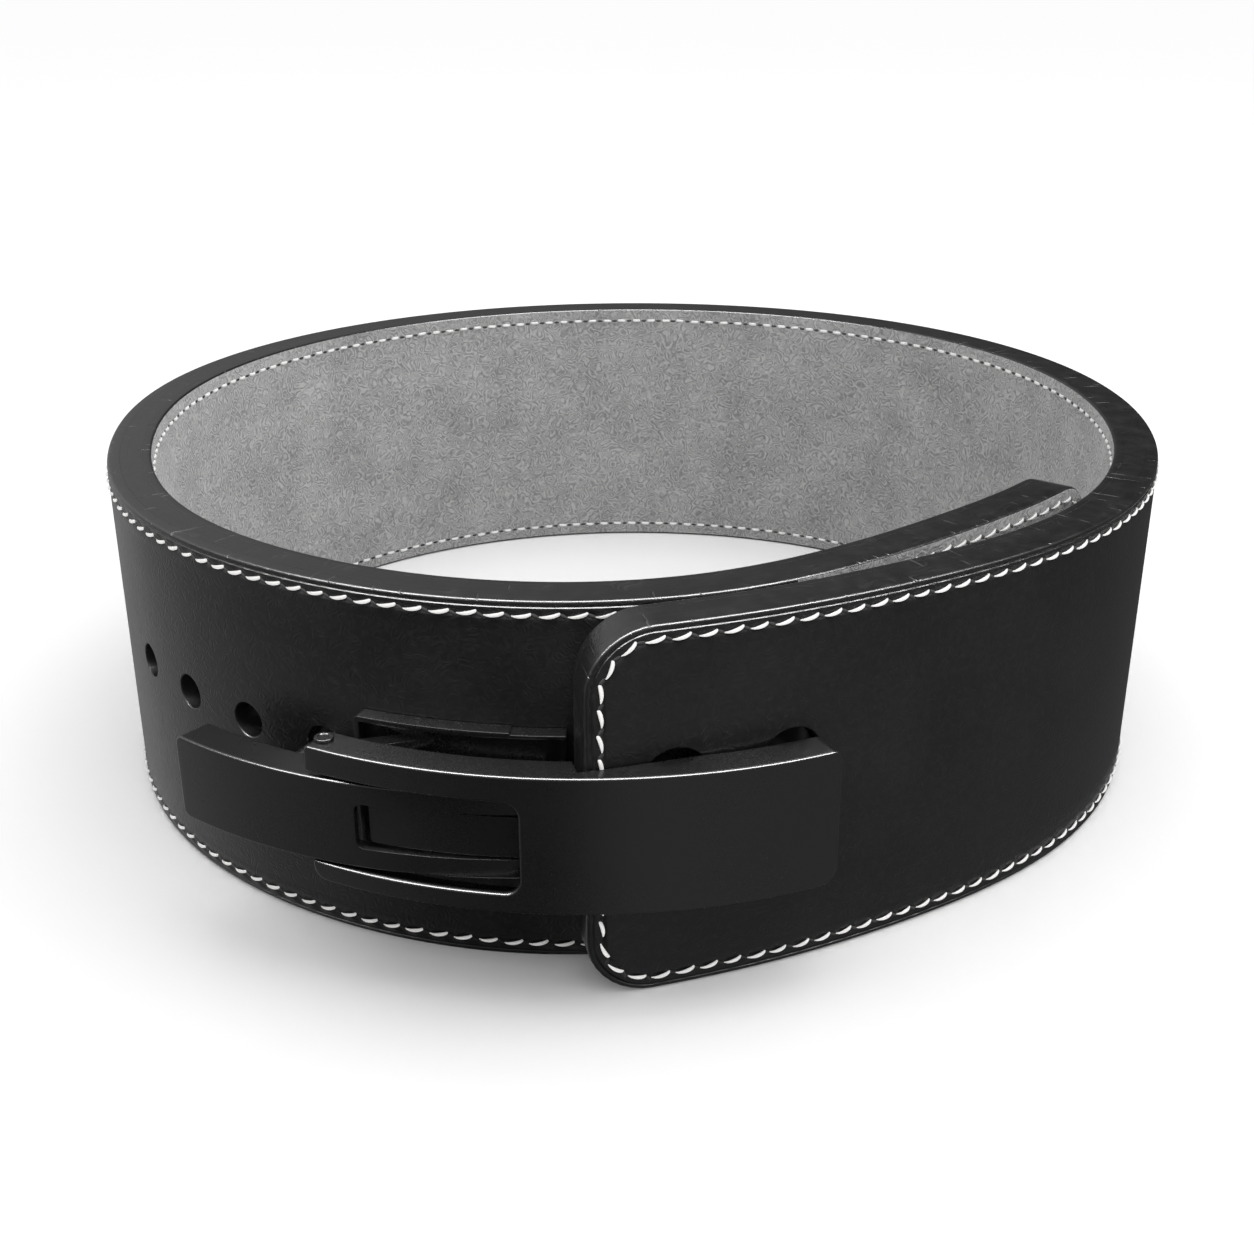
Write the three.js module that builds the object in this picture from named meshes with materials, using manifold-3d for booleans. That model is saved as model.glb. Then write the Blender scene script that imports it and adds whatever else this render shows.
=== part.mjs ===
// A lever belt for weightlifting, closed in a loop and standing on its lower edge.
// Millimetres, +Z up, the lever towards -Y, the origin under the middle of the whole box.
import * as THREE from 'three';
import { mergeVertices } from 'three/addons/utils/BufferGeometryUtils.js';
import Module from 'manifold-3d';

const wasm = await Module();
wasm.setup();

// The strap: three plies, their painted edge, and its rounded ends.
const beltHeight = 100;
const outerPly = 3.4;
const corePly = 6.6;
const liningPly = 2.4;
const plyGap = 0.3;
const endCorner = 17;
const rimChamfer = 1.2;
const tailFacingLength = 122.2;

// The loop, seen from above. Turn is the angle in degrees round the loop, anticlockwise from +X,
// from the outer end over the right side and the back to the tail under the outer end.
// Reach is the distance of the strap's middle from the centre, as a share of loopRadius.
const loopRadius = 160;
const loopStations = [
  { turn: -92.5, reach: 1.134 },
  { turn: -87, reach: 1.104 },
  { turn: -80, reach: 1.075 },
  { turn: -62, reach: 1.035 },
  { turn: -40, reach: 1.042 },
  { turn: -10, reach: 1.036 },
  { turn: 20, reach: 1.042 },
  { turn: 50, reach: 1.03 },
  { turn: 80, reach: 0.998 },
  { turn: 110, reach: 0.98 },
  { turn: 140, reach: 0.975 },
  { turn: 170, reach: 0.97 },
  { turn: 195, reach: 0.972 },
  { turn: 220, reach: 1.008 },
  { turn: 240, reach: 1.024 },
  { turn: 255, reach: 1.026 },
  { turn: 268, reach: 1.014 },
  { turn: 280, reach: 0.984 },
  { turn: 295, reach: 0.932 },
  { turn: 310, reach: 0.905 },
  { turn: 333, reach: 0.934 },
];

// The steps of curves and the sides of round pieces.
const pathTurnStep = 0.25;
const loftTurnStep = 4;
const arcTurnStep = 2.6;
const cornerSteps = 5;
const bandCornerSteps = 4;
const blockCornerSteps = 6;
const earSteps = 8;
const pinSides = 14;
const headSides = 20;
const prongSides = 12;
const hookHoleSides = 16;
const postSides = 20;

// The row of holes for the hook, its height over the strap's middle line.
const hookHoleRadius = 4.9;
const hookHoleRise = 4.2;
const hookHolePitch = 25;
const hookHoleCount = 5;
const hookedHole = 3;

// The two holes near the outer end, along the strap from it, and the posts in them.
const postHoleRadius = 8.25;
const postHoleRise = 9.3;
const firstPostHole = 22;
const postHolePitch = 30;
const postShankRadius = 4;
const postShankDrop = 2.8;
const postRecess = 4;

// Sheet steel of the buckle and its running clearances.
const sheet = 2;
const clearance = 0.3;
const leverClearance = 0.6;

// The buckle's lengths named Left, Right and Crown are along X from the strap's outer end.
// The lever: a shallow channel on an arc, forked at its left end.
const leverRadius = 142;
const leverCrown = 0.9;
const leverStandoff = 4.4;
const leverLeft = 68.5;
const leverRight = 62.2;
const leverDepth = 9.4;
const leverHeight = 37.4;
const leverDrop = 3.7;
const leverFrontCorner = 2.2;
const leverBackCorner = 4.5;
const leverCorners = { topLeft: 1.5, bottomLeft: 4, topRight: 3, bottomRight: 4.5 };
const slotHeight = 25;
const slotDrop = 0.9;
const slotRight = 15.8;
const slotCorner = 4;

// The hook plate between the fork's arms, with its window, pressed tab and prong.
const hookRadius = 139.2;
const hookProud = 0.8;
const hookSink = 5.8;
const hookLeft = 105.6;
const hookRight = 9.6;
const hookDepth = 10;
const hookPlay = 0.7;
const hookFrontCorner = 1;
const hookCorner = 2.5;
const windowLeft = 56.2;
const windowRight = 14.8;
const windowHeight = 12.3;
const windowCorner = 2;
const tabGap = 0.6;
const tabEndGap = 2.8;
const tabBend = 3.9;
const prongLeft = 67.8;
const prongRadius = 2.8;
const prongDrop = 0.6;
const prongReach = 8;

// The base plate: a tray on the strap, a riser at the outer end, a bar on it and two ears.
const traySheet = 1.5;
const trayDepth = 4.7;
const trayHeight = 42;
const trayLeft = 56.1;
const trayRight = 4.7;
const riserLeft = 6;
const barHeight = 26;
const barMargin = 1.5;
const earSheet = 2.3;
const earWall = 1;
const earInset = 12;
const earFoot = 8;

// Pins: one in each fork arm and ear, and one across the hook plate.
const pivotLeft = 63.7;
const pivotDepth = 5;
const pivotRadius = 1.4;
const pivotHeadRadius = 2.4;
const pivotHeadHeight = 0.5;
const linkInset = 3.3;
const linkDepth = 5.1;
const linkRadius = 2;

const beltThickness = outerPly + corePly + liningPly + 2 * plyGap;
const strapFace = beltThickness / 2;
const strapMiddle = beltHeight / 2;
const hookHoleHeight = strapMiddle + hookHoleRise;
const postHoleHeight = strapMiddle + postHoleRise;
const leverMiddle = strapMiddle - leverDrop;
const leverBottom = leverMiddle - leverHeight / 2;
const leverTop = leverMiddle + leverHeight / 2;
const slotMiddle = leverMiddle - slotDrop;
const slotBottom = slotMiddle - slotHeight / 2;
const slotTop = slotMiddle + slotHeight / 2;
const hookBottom = slotBottom + hookPlay;
const hookTop = slotTop - hookPlay;
const trayBottom = leverMiddle - trayHeight / 2;
const trayTop = leverMiddle + trayHeight / 2;
const barBottom = leverMiddle - barHeight / 2;
const barTop = leverMiddle + barHeight / 2;
const radians = THREE.MathUtils.degToRad;

// The natural cubic spline through the loop's stations: its second slopes, then its value.
function secondSlopes(xs, ys) {
  const last = xs.length - 1;
  const slopes = new Array(xs.length).fill(0);
  const carry = new Array(xs.length).fill(0);
  for (let i = 1; i < last; i += 1) {
    const before = xs[i] - xs[i - 1];
    const after = xs[i + 1] - xs[i];
    const pivotValue = 2 * (before + after) - before * carry[i - 1];
    const rise = (ys[i + 1] - ys[i]) / after - (ys[i] - ys[i - 1]) / before;
    carry[i] = after / pivotValue;
    slopes[i] = (6 * rise - before * slopes[i - 1]) / pivotValue;
  }
  for (let i = last - 1; i > 0; i -= 1) {
    slopes[i] -= carry[i] * slopes[i + 1];
  }
  return slopes;
}

const turns = loopStations.map((station) => station.turn);
const reaches = loopStations.map((station) => station.reach * loopRadius);
const bends = secondSlopes(turns, reaches);

function reachAt(turn) {
  let i = 0;
  while (i < turns.length - 2 && turn > turns[i + 1]) i += 1;
  const span = turns[i + 1] - turns[i];
  const a = (turns[i + 1] - turn) / span;
  const b = 1 - a;
  const bow = ((a ** 3 - a) * bends[i] + (b ** 3 - b) * bends[i + 1]) * span * span / 6;
  return a * reaches[i] + b * reaches[i + 1] + bow;
}

// The loop as closely spaced points with their distance along the strap.
const path = [];
for (let turn = turns[0]; turn <= turns.at(-1); turn += pathTurnStep) {
  const reach = reachAt(turn);
  const point = new THREE.Vector2(reach * Math.cos(radians(turn)), reach * Math.sin(radians(turn)));
  const before = path.at(-1);
  path.push({ point, arc: before ? before.arc + point.distanceTo(before.point) : 0 });
}
const beltLength = path.at(-1).arc;
const loftStep = loopRadius * radians(loftTurnStep);

// A place on the strap's middle, with the outward normal. Past an end it goes straight on.
function strapAt(arc) {
  let i = path.findIndex((entry) => entry.arc > arc);
  if (i < 1) i = i === 0 ? 1 : path.length - 1;
  const from = path[i - 1];
  const to = path[i];
  const share = (arc - from.arc) / (to.arc - from.arc);
  const along = to.point.clone().sub(from.point).normalize();
  return {
    point: from.point.clone().lerp(to.point, share),
    normal: new THREE.Vector2(along.y, -along.x),
  };
}

function strapPoint(arc, offset) {
  const place = strapAt(arc);
  return place.point.addScaledVector(place.normal, offset);
}

// The outer corner of the strap's outer end: the buckle's place follows it.
const outerEnd = strapPoint(0, strapFace);

// The distance along the strap to where its front, under the outer end, has a given X.
function arcBehind(x) {
  const front = path.filter((entry) => entry.arc > beltLength / 2 && entry.point.y < 0);
  const after = front.findIndex((entry) => strapPoint(entry.arc, strapFace).x > x);
  const [from, to] = [front[after - 1].arc, front[after].arc];
  const [fromX, toX] = [strapPoint(from, strapFace).x, strapPoint(to, strapFace).x];
  return from + (to - from) * (x - fromX) / (toX - fromX);
}

// Closed solids and what joins and cuts them.
function solidOf(geometry) {
  const bare = geometry.clone();
  bare.deleteAttribute('normal');
  bare.deleteAttribute('uv');
  const merged = mergeVertices(bare, 1e-5);
  return new wasm.Manifold(new wasm.Mesh({
    numProp: 3,
    vertProperties: new Float32Array(merged.attributes.position.array),
    triVerts: new Uint32Array(merged.index.array),
  }));
}

function geometryOf(solid) {
  const { vertProperties, triVerts } = solid.getMesh();
  const geometry = new THREE.BufferGeometry();
  geometry.setAttribute('position', new THREE.BufferAttribute(vertProperties, 3));
  geometry.setIndex(new THREE.BufferAttribute(triVerts, 1));
  geometry.computeVertexNormals();
  return geometry;
}

function joined(solids) {
  return solids.reduce((sum, solid) => sum.add(solid));
}

function cut(solid, tools) {
  return tools.reduce((left, tool) => left.subtract(tool), solid);
}

// A prism on a plan outline, from one height to another.
function prism(points, low, high) {
  const shape = new THREE.Shape(points);
  const geometry = new THREE.ExtrudeGeometry(shape, { depth: high - low, bevelEnabled: false });
  return solidOf(geometry.translate(0, 0, low));
}

function uprightRod(place, radius, low, high, sides = pinSides) {
  const geometry = new THREE.CylinderGeometry(radius, radius, high - low, sides);
  geometry.rotateX(Math.PI / 2).translate(place.x, place.y, (low + high) / 2);
  return solidOf(geometry);
}

// A rod square to the strap at an arc and a height, between two offsets from the strap's middle.
function strapRod(arc, height, radius, inner, outer, sides) {
  const { point, normal } = strapAt(arc);
  const middle = point.clone().addScaledVector(normal, (inner + outer) / 2);
  const geometry = new THREE.CylinderGeometry(radius, radius, outer - inner, sides);
  geometry.rotateZ(-Math.PI / 2).rotateZ(Math.atan2(normal.y, normal.x));
  geometry.translate(middle.x, middle.y, height);
  return solidOf(geometry);
}

// A solid that follows the strap: one section of offsets and heights at each arc of a list.
function strapLoft(arcs, sectionAt) {
  const rings = arcs.map((arc) => sectionAt(arc).map(([offset, height]) => {
    const plan = strapPoint(arc, offset);
    return [plan.x, plan.y, height];
  }));
  const sides = rings[0].length;
  const positions = rings.flat(2);
  const index = [];
  for (let ring = 0; ring < rings.length - 1; ring += 1) {
    for (let side = 0; side < sides; side += 1) {
      const a = ring * sides + side;
      const b = ring * sides + (side + 1) % sides;
      index.push(a, a + sides, b, b, a + sides, b + sides);
    }
  }
  const lastRing = (rings.length - 1) * sides;
  for (let side = 1; side < sides - 1; side += 1) {
    index.push(0, side, side + 1);
    index.push(lastRing, lastRing + side + 1, lastRing + side);
  }
  const geometry = new THREE.BufferGeometry();
  geometry.setAttribute('position', new THREE.Float32BufferAttribute(positions, 3));
  geometry.setIndex(index);
  return solidOf(geometry);
}

function evenArcs(from, to) {
  const steps = Math.max(1, Math.round((to - from) / loftStep));
  return Array.from({ length: steps + 1 }, (_, i) => from + (to - from) * i / steps);
}

// A plain band along the strap between two offsets and two heights.
function strapBand(from, to, inner, outer, low, high) {
  return strapLoft(evenArcs(from, to), () => [[inner, low], [outer, low], [outer, high], [inner, high]]);
}

// One ply of the strap. An end that is the strap's own end has rounded corners.
function ply(from, to, inner, outer, chamfers) {
  const starts = from === 0;
  const ends = to === beltLength;
  const corner = Math.min(endCorner, beltHeight / 2 - rimChamfer * 2);
  const rounding = Array.from({ length: cornerSteps }, (_, i) => (
    corner * (1 - Math.cos(Math.PI / 2 * i / cornerSteps))
  ));
  const arcs = [
    ...(starts ? rounding : []),
    ...evenArcs(starts ? corner : from, ends ? to - corner : to),
    ...(ends ? rounding.map((distance) => to - distance).reverse() : []),
  ];
  return strapLoft(arcs, (arc) => {
    const distance = Math.min(starts ? arc : corner, ends ? to - arc : corner, corner);
    const inset = corner - Math.sqrt(Math.max(0, corner ** 2 - (corner - distance) ** 2));
    const low = inset;
    const high = beltHeight - inset;
    return [
      [inner + chamfers.inner, low],
      [outer - chamfers.outer, low],
      ...(chamfers.outer ? [[outer, low + chamfers.outer], [outer, high - chamfers.outer]] : []),
      [outer - chamfers.outer, high],
      [inner + chamfers.inner, high],
      ...(chamfers.inner ? [[inner, high - chamfers.inner], [inner, low + chamfers.inner]] : []),
    ];
  });
}

const lineFace = -strapFace + liningPly;
const tailFacingFrom = beltLength - tailFacingLength;
const coreInner = lineFace + plyGap;
const coreOuter = coreInner + corePly;
const outerInner = coreOuter + plyGap;

const hookedArc = arcBehind(outerEnd.x - prongLeft);
const hookHoleArcs = Array.from({ length: hookHoleCount }, (_, i) => (
  hookedArc + (i - hookedHole) * hookHolePitch
));
const postHoleArcs = [firstPostHole, firstPostHole + postHolePitch];
const barEnd = postHoleArcs.at(-1) + postShankRadius + barMargin;

// What a hole removes: a rod through the whole strap and a little past its faces.
function strapHole(arc, height, radius, sides) {
  const reach = strapFace + clearance * 2;
  return strapRod(arc, height, radius, -reach, reach, sides);
}

const strapHoles = [
  ...hookHoleArcs.map((arc) => strapHole(arc, hookHoleHeight, hookHoleRadius, hookHoleSides)),
  ...postHoleArcs.map((arc) => strapHole(arc, postHoleHeight, postHoleRadius, postSides)),
];

function outerLeather() {
  const chamfers = { inner: 0, outer: rimChamfer };
  return cut(ply(0, tailFacingFrom, outerInner, strapFace, chamfers), strapHoles);
}

function tailSuedeFacing() {
  const chamfers = { inner: 0, outer: rimChamfer };
  return ply(tailFacingFrom + plyGap, beltLength, outerInner, strapFace, chamfers);
}

function coreLeather() {
  return cut(ply(0, beltLength, coreInner, coreOuter, { inner: 0, outer: 0 }), strapHoles);
}

function suedeLining() {
  const chamfers = { inner: rimChamfer, outer: 0 };
  return cut(ply(0, beltLength, -strapFace, lineFace, chamfers), strapHoles);
}

// A band on an arc about a centre, from one turn to another, its ends rounded in plan.
function arcBand(centre, outer, inner, fromTurn, toTurn, corners = {}) {
  const { front = 0, back = 0 } = corners;
  const at = (radius, turn) => new THREE.Vector2(
    centre.x + radius * Math.cos(radians(turn)),
    centre.y + radius * Math.sin(radians(turn)),
  );
  const turnFor = (length) => THREE.MathUtils.radToDeg(length / outer);
  const arcPoints = (radius, start, end) => {
    const steps = Math.max(2, Math.ceil(Math.abs(end - start) / arcTurnStep));
    return Array.from({ length: steps + 1 }, (_, i) => at(radius, start + (end - start) * i / steps));
  };
  const rounded = (start, corner, end) => {
    const curve = new THREE.QuadraticBezierCurve(start, corner, end);
    return curve.getPoints(bandCornerSteps).slice(1, -1);
  };
  const points = [
    ...arcPoints(outer, fromTurn + turnFor(front), toTurn),
    ...arcPoints(inner, toTurn, fromTurn + turnFor(back)),
  ];
  if (back) points.push(...rounded(points.at(-1), at(inner, fromTurn), at(inner + back, fromTurn)));
  if (back) points.push(at(inner + back, fromTurn));
  if (front) points.push(at(outer - front, fromTurn));
  if (front) points.push(...rounded(points.at(-1), at(outer, fromTurn), points[0]));
  return points;
}

// A prism along Y on an outline in X and Z, with one radius at each corner.
function faceBlock(left, right, low, high, corners, near, far) {
  const shape = new THREE.Shape();
  const { topLeft = 0, bottomLeft = 0, topRight = 0, bottomRight = 0 } = corners;
  shape.moveTo(left + bottomLeft, low);
  shape.lineTo(right - bottomRight, low);
  if (bottomRight) shape.absarc(right - bottomRight, low + bottomRight, bottomRight, -Math.PI / 2, 0);
  shape.lineTo(right, high - topRight);
  if (topRight) shape.absarc(right - topRight, high - topRight, topRight, 0, Math.PI / 2);
  shape.lineTo(left + topLeft, high);
  if (topLeft) shape.absarc(left + topLeft, high - topLeft, topLeft, Math.PI / 2, Math.PI);
  shape.lineTo(left, low + bottomLeft);
  if (bottomLeft) shape.absarc(left + bottomLeft, low + bottomLeft, bottomLeft, Math.PI, Math.PI * 1.5);
  const options = { depth: far - near, bevelEnabled: false, curveSegments: blockCornerSteps };
  const geometry = new THREE.ExtrudeGeometry(shape, options);
  return solidOf(geometry.rotateX(Math.PI / 2).translate(0, far, 0));
}

// The point of an arc's front half at a given X, and the turn to it about the centre.
function turnTo(centre, radius, x) {
  return -THREE.MathUtils.radToDeg(Math.acos((x - centre.x) / radius));
}

function pointAt(centre, radius, x) {
  return new THREE.Vector2(x, centre.y - Math.sqrt(radius ** 2 - (x - centre.x) ** 2));
}

// The centre of an arc of a given radius that bows to -Y through two points, left one first.
function centreThrough(left, right, radius) {
  const chord = right.clone().sub(left);
  const rise = Math.sqrt(radius ** 2 - chord.lengthSq() / 4);
  const across = new THREE.Vector2(-chord.y, chord.x).normalize();
  return left.clone().addScaledVector(chord, 0.5).addScaledVector(across, rise);
}

const leverCentre = new THREE.Vector2(
  outerEnd.x - leverCrown,
  outerEnd.y - leverStandoff + leverRadius,
);
const leverLeftX = outerEnd.x - leverLeft;
const leverRightX = outerEnd.x + leverRight;
const slotRightX = outerEnd.x - slotRight;
const hookCentre = centreThrough(
  pointAt(leverCentre, leverRadius + hookProud, leverLeftX),
  pointAt(leverCentre, leverRadius - hookSink, slotRightX),
  hookRadius,
);
const hookLeftX = outerEnd.x - hookLeft;
const hookRightX = outerEnd.x - hookRight;
const pivot = pointAt(leverCentre, leverRadius - pivotDepth, outerEnd.x - pivotLeft);
const linkPlace = pointAt(hookCentre, hookRadius - linkDepth, hookRightX - linkInset);
const earRadius = pivotRadius + clearance + earWall;
const nearY = leverCentre.y - leverRadius - leverDepth;
const farY = leverCentre.y - leverRadius / 2;

function lever() {
  const leftTurn = turnTo(leverCentre, leverRadius, leverLeftX);
  const rightTurn = turnTo(leverCentre, leverRadius, leverRightX);
  const corners = { front: leverFrontCorner, back: leverBackCorner };
  const backRadius = leverRadius - leverDepth;
  const outline = arcBand(leverCentre, leverRadius, backRadius, leftTurn, rightTurn, corners);
  const pastLeft = turnTo(leverCentre, leverRadius, leverLeftX - leverDepth);
  const wallTurn = turnTo(leverCentre, leverRadius, leverRightX - sheet);
  const hollow = arcBand(leverCentre, leverRadius - sheet, backRadius - leverDepth, pastLeft, wallTurn);
  const face = faceBlock(leverLeftX, leverRightX, leverBottom, leverTop, leverCorners, nearY, farY);
  const slotCorners = { topRight: slotCorner, bottomRight: slotCorner };
  const slotLeftX = leverLeftX - leverDepth;
  const slot = faceBlock(slotLeftX, slotRightX, slotBottom, slotTop, slotCorners, nearY, farY);
  const strapEnd = leverLeft + leverRight;
  const strapRoom = strapBand(-sheet, strapEnd, -strapFace, strapFace + leverClearance, 0, beltHeight);
  return cut(prism(outline, leverBottom, leverTop).intersect(face), [
    prism(hollow, leverBottom + sheet, leverTop - sheet),
    slot,
    strapRoom,
    uprightRod(pivot, pivotRadius + clearance, leverBottom - sheet, leverTop + sheet),
  ]);
}

function hookPlate() {
  const leftTurn = turnTo(hookCentre, hookRadius, hookLeftX);
  const rightTurn = turnTo(hookCentre, hookRadius, hookRightX);
  const backRadius = hookRadius - hookDepth;
  const corners = { front: hookFrontCorner, back: hookCorner };
  const outline = arcBand(hookCentre, hookRadius, backRadius, leftTurn, rightTurn, corners);
  const wallTurn = turnTo(hookCentre, hookRadius, hookLeftX + sheet);
  const pastRight = turnTo(hookCentre, hookRadius, hookRightX + hookDepth);
  const hollow = arcBand(hookCentre, hookRadius - sheet, backRadius - hookDepth, wallTurn, pastRight);
  const faceCorners = { topLeft: hookCorner, bottomLeft: hookCorner };
  const face = faceBlock(hookLeftX, hookRightX, hookBottom, hookTop, faceCorners, nearY, farY);
  const windowCorners = { topLeft: windowCorner, bottomLeft: windowCorner };
  const window = faceBlock(
    outerEnd.x - windowLeft, outerEnd.x - windowRight,
    slotMiddle - windowHeight / 2, slotMiddle + windowHeight / 2,
    windowCorners, nearY, pointAt(hookCentre, backRadius, hookRightX).y,
  );
  const shell = cut(prism(outline, hookBottom, hookTop).intersect(face), [
    prism(hollow, hookBottom + sheet, hookTop - sheet),
    window,
  ]);
  return cut(joined([shell, pressedTab(), prong()]), [
    uprightRod(linkPlace, linkRadius + clearance, hookBottom - sheet, hookTop + sheet),
  ]);
}

// The tab in the window: a strip of the hook plate's arc, turned inwards about its right end.
function pressedTab() {
  const endX = outerEnd.x - windowLeft + tabEndGap;
  const rootX = outerEnd.x - windowRight + sheet;
  const outline = arcBand(
    hookCentre, hookRadius, hookRadius - sheet,
    turnTo(hookCentre, hookRadius, endX), turnTo(hookCentre, hookRadius, rootX),
  );
  const hinge = pointAt(hookCentre, hookRadius, outerEnd.x - windowRight);
  const bent = outline.map((point) => point.rotateAround(hinge, -radians(tabBend)));
  const half = windowHeight / 2 - tabGap;
  return prism(bent, slotMiddle - half, slotMiddle + half);
}

// The prong from the hook plate's back into its hole, square to the strap.
function prong() {
  const { point, normal } = strapAt(hookedArc);
  const start = point.clone().addScaledVector(normal, strapFace).sub(hookCentre);
  const along = start.dot(normal);
  const target = hookRadius - sheet / 2;
  const length = -along + Math.sqrt(along ** 2 - start.lengthSq() + target ** 2);
  const height = hookHoleHeight - prongDrop;
  const tip = strapFace - prongReach;
  return strapRod(hookedArc, height, prongRadius, tip, strapFace + length, prongSides);
}

const trayFloor = strapFace + clearance;
const trayLeftArc = arcBehind(outerEnd.x - trayLeft);
const trayRightArc = arcBehind(outerEnd.x - trayRight);

function basePlate() {
  const wallTop = trayFloor + trayDepth;
  const tray = cut(strapBand(trayLeftArc, trayRightArc, trayFloor, wallTop, trayBottom, trayTop), [
    strapBand(
      trayLeftArc + traySheet, trayRightArc + traySheet, trayFloor + traySheet, wallTop + traySheet,
      trayBottom + traySheet, trayTop - traySheet,
    ),
  ]);
  const bar = strapBand(0, barEnd, trayFloor, trayFloor + traySheet, barBottom, barTop);
  const upperEar = leverTop - sheet - clearance;
  const lowerEar = leverBottom + sheet + clearance;
  const ears = [ear(upperEar - earSheet, upperEar), ear(lowerEar, lowerEar + earSheet)];
  return cut(joined([tray, bar, riser(), ...ears]), [
    uprightRod(pivot, pivotRadius + clearance, leverBottom, leverTop),
  ]);
}

// The plate that steps from the tray's floor round the strap's outer end to the bar.
function riser() {
  const half = traySheet / 2;
  const foot = strapPoint(trayRightArc, trayFloor + half);
  const barFront = strapPoint(0, trayFloor);
  const barBack = strapPoint(sheet, trayFloor + traySheet);
  const riserX = outerEnd.x - riserLeft;
  return prism([
    new THREE.Vector2(riserX - half, barFront.y - half),
    new THREE.Vector2(barFront.x, barBack.y),
    barBack,
    barFront,
    new THREE.Vector2(riserX + half, barFront.y + half / 2),
    new THREE.Vector2(riserX + half, foot.y + half),
    new THREE.Vector2(foot.x - traySheet, foot.y + half),
    new THREE.Vector2(riserX - half, foot.y - half),
  ], barBottom, barTop);
}

// An ear from the tray's floor to the pivot, with a round end.
function ear(low, high) {
  const far = strapPoint(trayLeftArc + earInset, trayFloor + traySheet / 2);
  const near = strapPoint(trayLeftArc + earInset + earFoot, trayFloor + traySheet / 2);
  const towards = Math.atan2(pivot.y - far.y, pivot.x - far.x);
  const tip = Array.from({ length: earSteps + 1 }, (_, i) => {
    const turn = towards - Math.PI / 2 + Math.PI * i / earSteps;
    return new THREE.Vector2(Math.cos(turn), Math.sin(turn)).multiplyScalar(earRadius).add(pivot);
  });
  return prism([near, far, ...tip], low, high);
}

function pivotPin(low, high, headLow) {
  const head = uprightRod(pivot, pivotHeadRadius, headLow, headLow + pivotHeadHeight, headSides);
  return joined([uprightRod(pivot, pivotRadius, low, high), head]);
}

// Each pin reaches through its arm of the fork and the ear behind it.
const pinLength = sheet + earSheet + clearance * 2;

function upperPivotPin() {
  const head = leverTop + clearance;
  return pivotPin(leverTop - pinLength, head + pivotHeadHeight / 2, head);
}

function lowerPivotPin() {
  const head = leverBottom - clearance - pivotHeadHeight;
  return pivotPin(head + pivotHeadHeight / 2, leverBottom + pinLength, head);
}

function linkPin() {
  return uprightRod(linkPlace, linkRadius, hookBottom + clearance, hookTop - clearance);
}

function mountPost(arc) {
  const barrelRadius = postHoleRadius - clearance;
  const barrelTop = strapFace - postRecess;
  const shankHeight = postHoleHeight - postShankDrop;
  const barrel = strapRod(arc, postHoleHeight, barrelRadius, -strapFace, barrelTop, postSides);
  const shank = strapRod(arc, shankHeight, postShankRadius, 0, strapFace, hookHoleSides);
  return joined([barrel, shank]);
}

// Finishes.
const blackLeather = new THREE.MeshStandardMaterial({ color: 0x161617, roughness: 0.5, metalness: 0 });
const edgePaint = new THREE.MeshStandardMaterial({ color: 0x0d0d0e, roughness: 0.4, metalness: 0 });
const greySuede = new THREE.MeshStandardMaterial({ color: 0x858586, roughness: 0.95, metalness: 0 });
const blackSteel = new THREE.MeshStandardMaterial({ color: 0x141415, roughness: 0.42, metalness: 0.6 });

const group = new THREE.Group();

function addPiece(name, solid, material) {
  const mesh = new THREE.Mesh(geometryOf(solid), material);
  mesh.name = name;
  group.add(mesh);
}

addPiece('outer_leather', outerLeather(), blackLeather);
addPiece('core_leather', coreLeather(), edgePaint);
addPiece('suede_lining', suedeLining(), greySuede);
addPiece('tail_suede_facing', tailSuedeFacing(), greySuede);
addPiece('lever', lever(), blackSteel);
addPiece('hook_plate', hookPlate(), blackSteel);
addPiece('base_plate', basePlate(), blackSteel);
addPiece('pivot_pin_upper', upperPivotPin(), blackSteel);
addPiece('pivot_pin_lower', lowerPivotPin(), blackSteel);
addPiece('link_pin', linkPin(), blackSteel);
postHoleArcs.forEach((arc, i) => addPiece(`mount_post_${i + 1}`, mountPost(arc), blackSteel));

// The origin goes under the middle of the box.
const bounds = new THREE.Box3().setFromObject(group);
const middle = bounds.getCenter(new THREE.Vector3());
group.position.set(-middle.x, -middle.y, -bounds.min.z);
group.updateMatrixWorld(true);

export default group;
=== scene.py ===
import logging
import math
from dataclasses import dataclass, field
from enum import Enum
from typing import Callable, Dict, List, Optional, Sequence, Tuple

import bmesh
import bpy
import numpy as np
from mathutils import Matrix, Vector


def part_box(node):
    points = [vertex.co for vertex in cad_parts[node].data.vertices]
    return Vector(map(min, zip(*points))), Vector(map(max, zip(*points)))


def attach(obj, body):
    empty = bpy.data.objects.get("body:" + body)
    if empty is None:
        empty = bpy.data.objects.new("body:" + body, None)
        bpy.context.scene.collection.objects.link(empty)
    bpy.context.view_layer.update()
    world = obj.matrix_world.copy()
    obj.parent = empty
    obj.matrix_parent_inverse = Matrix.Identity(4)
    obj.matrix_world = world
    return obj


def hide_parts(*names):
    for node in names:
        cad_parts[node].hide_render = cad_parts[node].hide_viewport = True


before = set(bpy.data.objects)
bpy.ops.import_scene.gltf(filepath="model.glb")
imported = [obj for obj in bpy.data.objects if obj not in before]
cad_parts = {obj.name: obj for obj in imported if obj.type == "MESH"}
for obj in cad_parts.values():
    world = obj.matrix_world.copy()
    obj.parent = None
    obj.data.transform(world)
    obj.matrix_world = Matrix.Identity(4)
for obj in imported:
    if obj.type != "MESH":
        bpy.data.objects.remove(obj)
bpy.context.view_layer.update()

log = logging.getLogger("belt")
logging.basicConfig(level=logging.INFO, format="%(name)s: %(message)s")

MM = 0.001
Point = Tuple[float, float, float]
Colour = Tuple[float, float, float, float]


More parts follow.
